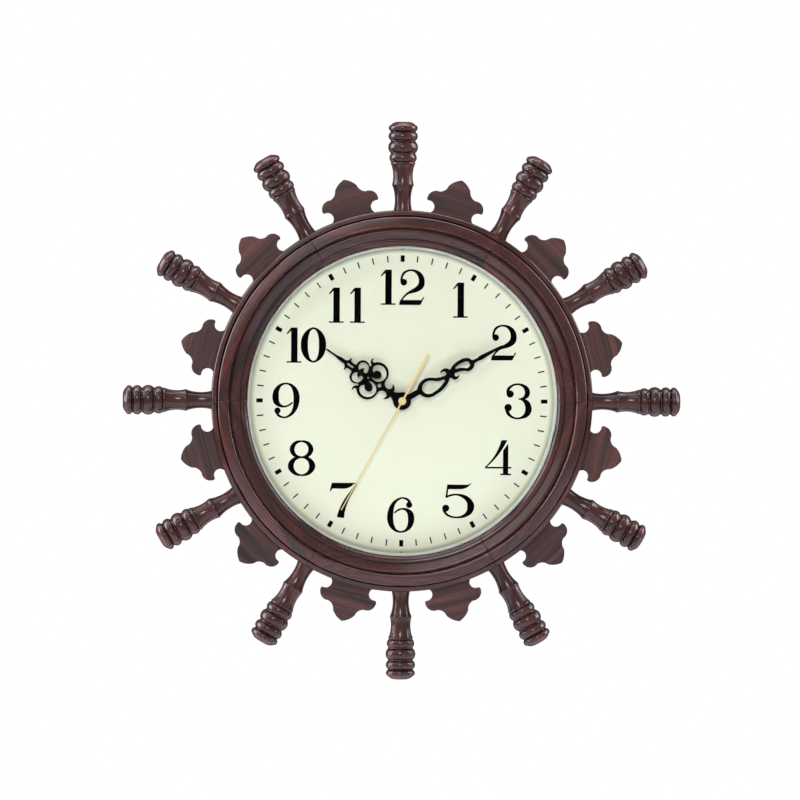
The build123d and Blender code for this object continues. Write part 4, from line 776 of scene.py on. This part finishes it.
# Union of outlines in millimetres, as a thin layer of ink on the dial: the triangles between all their
# crossings whose middles lie in at least one outline, once sunk and once raised, and a wall over each
# edge that one triangle alone has
def inkLayer(name, outlines, material):
    starts = np.cumsum([0] + [len(outline) for outline in outlines])
    loops = [list(range(first, last)) for first, last in zip(starts[:-1], starts[1:])]
    corners = np.concatenate(outlines).tolist()
    flat, _, triangles, _, _, _ = delaunay_2d_cdt(corners, [], loops, 1, ink["sameCorner"])
    flat, triangles = np.array(flat), np.array(triangles)
    middles = flat[triangles].mean(1)
    covered = np.any([insideOutline(middles, outline) for outline in outlines], axis=0)
    used, inked = np.unique(triangles[covered], return_inverse=True)
    inked = inked.reshape(-1, 3)
    count = len(used)
    back, front = ink["sink"] - ink["dialFront"], -ink["proud"] - ink["dialFront"]
    layers = [np.insert(flat[used] * mm, 1, y, axis=1) for y in (back, front)]
    first, last = inked[:, [0, 1, 2]].ravel(), inked[:, [1, 2, 0]].ravel()
    alone = ~np.isin(first * count + last, last * count + first)
    first, last = first[alone], last[alone]
    walls = np.stack([first, last, last + count, first + count], 1)
    faces = inked[:, ::-1].tolist() + (inked + count).tolist() + walls.tolist()
    layer = meshObject(name, np.concatenate(layers), faces, material)
    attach(layer, "case")


# Mark of the track: a rectangle about a radius of the dial, between two radii
def trackMark(angle, inner, outer, width):
    turn = math.radians(angle)
    out = np.array([math.sin(turn), math.cos(turn)])
    side = np.array([math.cos(turn), -math.sin(turn)]) * width / 2
    return np.array([out * inner - side, out * inner + side, out * outer + side, out * outer - side])


# The figures as one layer, and the track's marks as another
def makePrint():
    printInk = plainFinish("dialInk", **ink["paint"])
    figures = []
    for figure, across, up in numerals["places"]:
        figures += [outline + (across, up) for outline in figureOutlines(figure)]
    inkLayer("dial_numerals", figures, printInk)
    t = track
    marks = []
    for index in range(t["marks"]):
        width = t["minuteWidth"] if index % t["marksToHour"] else t["hourWidth"]
        marks.append(trackMark(index * 360 / t["marks"], t["inner"], t["outer"], width))
    for angle in t["edgeMarkAngles"]:
        marks.append(trackMark(angle, t["edgeMarkInner"], t["edgeMarkOuter"], t["edgeMarkWidth"]))
    inkLayer("dial_minute_track", marks, printInk)
    print("print made")


# Pieces that keep their own shape: what a finish has unless it says otherwise, then each finish with the
# nodes that wear it
plain = dict(
    metallic=0.0, specular=0.5, coat=0.0,
    grainSize=0.0006, grainHeight=0.00002, grainRoughness=0.12, cloudTimes=30, cloudShare=0.6,
)
plainPieces = [
    dict(name="blackPaint", colour=(0.0015, 0.0015, 0.0022), roughness=0.40, speck=0.2, specular=0.02,
         nodes=["hour_hand", "minute_hand"]),
    dict(name="giltPaint", colour=(0.70, 0.52, 0.24), roughness=0.32, speck=0.05, metallic=0.6,
         nodes=["second_hand"]),
    dict(name="hardboard", colour=(0.20, 0.11, 0.06), roughness=0.75, speck=0.35, grainSize=0.0012,
         nodes=["dial_board", "back_board"]),
    dict(name="zincPlate", colour=(0.55, 0.55, 0.53), roughness=0.35, speck=0.12, metallic=1.0,
         nodes=["hanger_plate", "hanger_screws", "dial_board_screws", "back_board_screws",
                "positive_contact", "negative_contact", "stator"]),
    dict(name="brassTurned", colour=(0.60, 0.42, 0.16), roughness=0.28, speck=0.06, metallic=1.0,
         nodes=["bushing_nut", "bushing_washer"]),
    dict(name="mouldedBlack", colour=(0.018, 0.018, 0.019), roughness=0.50, speck=0.25, grainSize=0.0005,
         grainHeight=0.00005, nodes=["movement_case_front", "movement_case_back"]),
    dict(name="knobGrey", colour=(0.10, 0.10, 0.10), roughness=0.45, speck=0.15, nodes=["setting_knob"]),
    dict(name="nylonWhite", colour=(0.78, 0.77, 0.70), roughness=0.40, speck=0.03,
         nodes=["seconds_wheel", "intermediate_wheel", "third_wheel", "minute_wheel", "motion_wheel",
                "hour_wheel"]),
    dict(name="magnetGrey", colour=(0.07, 0.07, 0.075), roughness=0.40, speck=0.2, metallic=0.7,
         nodes=["rotor"]),
    dict(name="enamelCopper", colour=(0.45, 0.16, 0.06), roughness=0.30, speck=0.25, metallic=0.8,
         grainSize=0.0002, nodes=["coil"]),
    dict(name="greenLaminate", colour=(0.02, 0.13, 0.05), roughness=0.40, speck=0.2,
         nodes=["circuit_board"]),
    dict(name="batterySleeve", colour=(0.10, 0.14, 0.20), roughness=0.25, speck=0.06, metallic=0.3,
         coat=0.5, nodes=["battery"]),
]


# Colour (1 ± speck) over a fine grain and a soft cloud, the grain in the roughness and the relief too
def plainFinish(name, colour, roughness, speck, **others):
    p = {**plain, **others}
    finish = Finish(name)
    grain = finish.noise(finish.place(), scale=1 / p["grainSize"], detail=3)
    cloud = finish.noise(finish.place(), scale=1 / (p["grainSize"] * p["cloudTimes"]), detail=2)
    amount = (grain - 0.5) * speck + (cloud - 0.5) * (speck * p["cloudShare"]) + 0.5
    low = tuple(part * (1 - speck) for part in colour)
    high = tuple(min(1.0, part * (1 + speck)) for part in colour)
    return finish.surface({
        "Base Color": finish.mix(amount, low, high),
        "Metallic": p["metallic"],
        "Roughness": roughness + (grain - 0.5) * p["grainRoughness"],
        "Specular IOR Level": p["specular"],
        "Coat Weight": p["coat"],
        "Normal": finish.bump(grain, p["grainHeight"]),
    })


# Gives a finish to pieces that keep the frame's mesh
def dress(finish, nodes):
    for name in nodes:
        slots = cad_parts[name].data.materials
        slots.clear()
        slots.append(finish)


# Glass: clear, with a thin shine that grows towards grazing views and is smeared a little
pane = dict(tint=(0.985, 0.992, 0.985), ior=1.06, shineRoughness=0.03, smearScale=18, smearShare=0.3)


def glassFinish():
    finish = Finish("clearGlass")
    clear = finish.node("ShaderNodeBsdfTransparent", {}, {"Color": (*pane["tint"], 1)})
    smear = finish.noise(finish.place(), scale=pane["smearScale"], detail=3)
    shineSockets = {"Color": (1, 1, 1, 1), "Roughness": pane["shineRoughness"]}
    shine = finish.node("ShaderNodeBsdfGlossy", {}, shineSockets)
    fresnel = finish.node("ShaderNodeFresnel", {}, {"IOR": pane["ior"]})
    amount = fresnel * (smear * pane["smearShare"] + (1 - pane["smearShare"]))
    mixed = finish.node("ShaderNodeMixShader", {}, {0: amount, 1: clear, 2: shine})
    finish.node("ShaderNodeOutputMaterial", {}, {"Surface": mixed})
    return finish.block


# Dial: cream paint with painted shade over the last few millimetres before its edge, next to the spacer
dialPaint = dict(
    # The edge colour and the fade towards it are painted shade, not the paint's own colour
    cream=(0.860, 0.855, 0.690), edge=(0.42, 0.42, 0.32), shadeStart=0.1465, shadeEnd=0.1525,
    roughness=0.6, specular=0.15, cloudScale=60, cloudShade=0.975,
    grainScale=2500, grainHeight=0.00001, grainRoughness=0.1,
)


# The painted shade follows the radius, which is the square root of across² + up²
def dialFinish():
    d = dialPaint
    finish = Finish("dialPaint")
    points = finish.place()
    across, up = (finish.node("ShaderNodeSeparateXYZ", {}, {"Vector": points}, axis) for axis in "XZ")
    radius = finish.node("ShaderNodeMath", {"operation": "SQRT"}, {0: across * across + up * up})
    # Painted shade near the rim: 0 inside, 1 at the dial's edge
    paintedEdgeShade = finish.step(radius, d["shadeStart"], d["shadeEnd"])
    cloud = finish.noise(points, scale=d["cloudScale"], detail=3)
    grain = finish.noise(points, scale=d["grainScale"], detail=2)
    cream = finish.mix(cloud, d["cream"], tuple(part * d["cloudShade"] for part in d["cream"]))
    return finish.surface({
        "Base Color": finish.mix(paintedEdgeShade, cream, d["edge"]),
        "Roughness": d["roughness"] + (grain - 0.5) * d["grainRoughness"],
        "Specular IOR Level": d["specular"],
        "Normal": finish.bump(grain, d["grainHeight"]),
    })


def dressCadPieces():
    dress(glassFinish(), ["glass"])
    dress(dialFinish(), ["dial_sheet"])
    for values in plainPieces:
        looks = {key: value for key, value in values.items() if key != "nodes"}
        dress(plainFinish(**looks), values["nodes"])
    print("CAD pieces dressed")


# Room: a white sky for what the camera, gloss and glass see, a dim one for the light, and lamps. A lamp
# stands at a clock angle and rises from the dial's plane towards the viewer, in degrees: a front lamp for
# the hands' shadows, a wide key lamp, and three bluish panels about the dial's plane for the streaks on
# turned edges.
studio = dict(
    skyLight=0.09, lampDistance=3.0, target=(0, -0.02, 0),
    lamps=[
        dict(name="frontLamp", angle=342, rise=68, size=(0.72, 0.72), power=31, colour=(1.0, 0.985, 0.96)),
        dict(name="keyLamp", angle=325, rise=33, size=(3.5, 0.8), power=26, colour=(0.94, 0.97, 1.0)),
        dict(name="topPanel", angle=352, rise=-3, size=(4.0, 1.4), power=165, colour=(0.86, 0.92, 1.0)),
        dict(name="leftPanel", angle=286, rise=-3, size=(2.6, 1.6), power=190, colour=(0.84, 0.91, 1.0)),
        dict(name="rightPanel", angle=66, rise=-3, size=(2.4, 1.6), power=130, colour=(0.84, 0.91, 1.0)),
    ],
    floorHeight=-0.62, floorSize=3.0, floorRoughness=0.9, floorCloudScale=3,
    floorColours=((0.90, 0.90, 0.90), (0.93, 0.93, 0.93)),
)


# Lamp that faces the dial's middle, its long side across the direction to it
def areaLamp(name, angle, rise, size, power, colour):
    lamp = bpy.data.lights.new(name, "AREA")
    lamp.shape = "RECTANGLE"
    lamp.size, lamp.size_y = size
    lamp.energy = power
    lamp.color = colour
    holder = bpy.data.objects.new(name, lamp)
    turn, lift = math.radians(angle), math.radians(rise)
    away = Vector((math.sin(turn) * math.cos(lift), -math.sin(lift), math.cos(turn) * math.cos(lift)))
    side = Vector((math.cos(turn), 0, -math.sin(turn)))
    facing = Matrix((side, away.cross(side), away)).transposed().to_4x4()
    place = Vector(studio["target"]) + away * studio["lampDistance"]
    holder.matrix_world = Matrix.Translation(place) @ facing
    bpy.context.scene.collection.objects.link(holder)


def makeRoom():
    s = studio
    sky = Finish("studioSky", bpy.data.worlds)
    bpy.context.scene.world = sky.block
    rays = ("Is Camera Ray", "Is Glossy Ray", "Is Transmission Ray")
    camera, gloss, glass = (sky.node("ShaderNodeLightPath", {}, {}, ray) for ray in rays)
    sockets = {"Value": camera + gloss + glass, "To Min": s["skyLight"], "To Max": 1.0}
    strength = sky.node("ShaderNodeMapRange", {}, sockets)
    background = sky.node("ShaderNodeBackground", {}, {"Color": (1, 1, 1, 1), "Strength": strength})
    sky.node("ShaderNodeOutputWorld", {}, {"Surface": background})
    for lamp in s["lamps"]:
        areaLamp(**lamp)
    half, height = s["floorSize"] / 2, s["floorHeight"]
    corners = [(-half, -half, height), (half, -half, height), (half, half, height), (-half, half, height)]
    finish = Finish("paleFloor")
    cloud = finish.noise(finish.place(), scale=s["floorCloudScale"], detail=2)
    colour = finish.mix(cloud, *s["floorColours"])
    material = finish.surface({"Base Color": colour, "Roughness": s["floorRoughness"]})
    floor = meshObject("floor", corners, [[0, 1, 2, 3]], material)
    print("room made")


# Camera: a long lens a little to the left of the axis and above it, rolled a third of a degree
view = dict(
    distance=6.0, left=2.0, above=1.5, roll=0.3, aim=(-0.0020, -0.022, 0.0010),
    frameWidth=0.8, sensor=36.0, clipEnd=50,
)


def makeCamera():
    lens = bpy.data.cameras.new("photoLens")
    lens.sensor_width = view["sensor"]
    lens.lens = view["sensor"] * view["distance"] / view["frameWidth"]
    lens.clip_end = view["clipEnd"]
    camera = bpy.data.objects.new("photoCamera", lens)
    left, above = math.radians(view["left"]), math.radians(view["above"])
    away = Vector((-math.sin(left) * math.cos(above), -math.cos(left) * math.cos(above), math.sin(above)))
    camera.location = Vector(view["aim"]) + away * view["distance"]
    rolled = Matrix.Rotation(math.radians(view["roll"]), 3, "Z")
    camera.rotation_euler = ((-away).to_track_quat("-Z", "Y").to_matrix() @ rolled).to_euler()
    bpy.context.scene.collection.objects.link(camera)
    bpy.context.scene.camera = camera
    print("camera made")


makeCamera()
makeRoom()
makeRing()
makeSpacer()
makeHandles()
makeOrnaments()
makePrint()
dressCadPieces()

bpy.context.scene.view_settings.view_transform = "Standard"
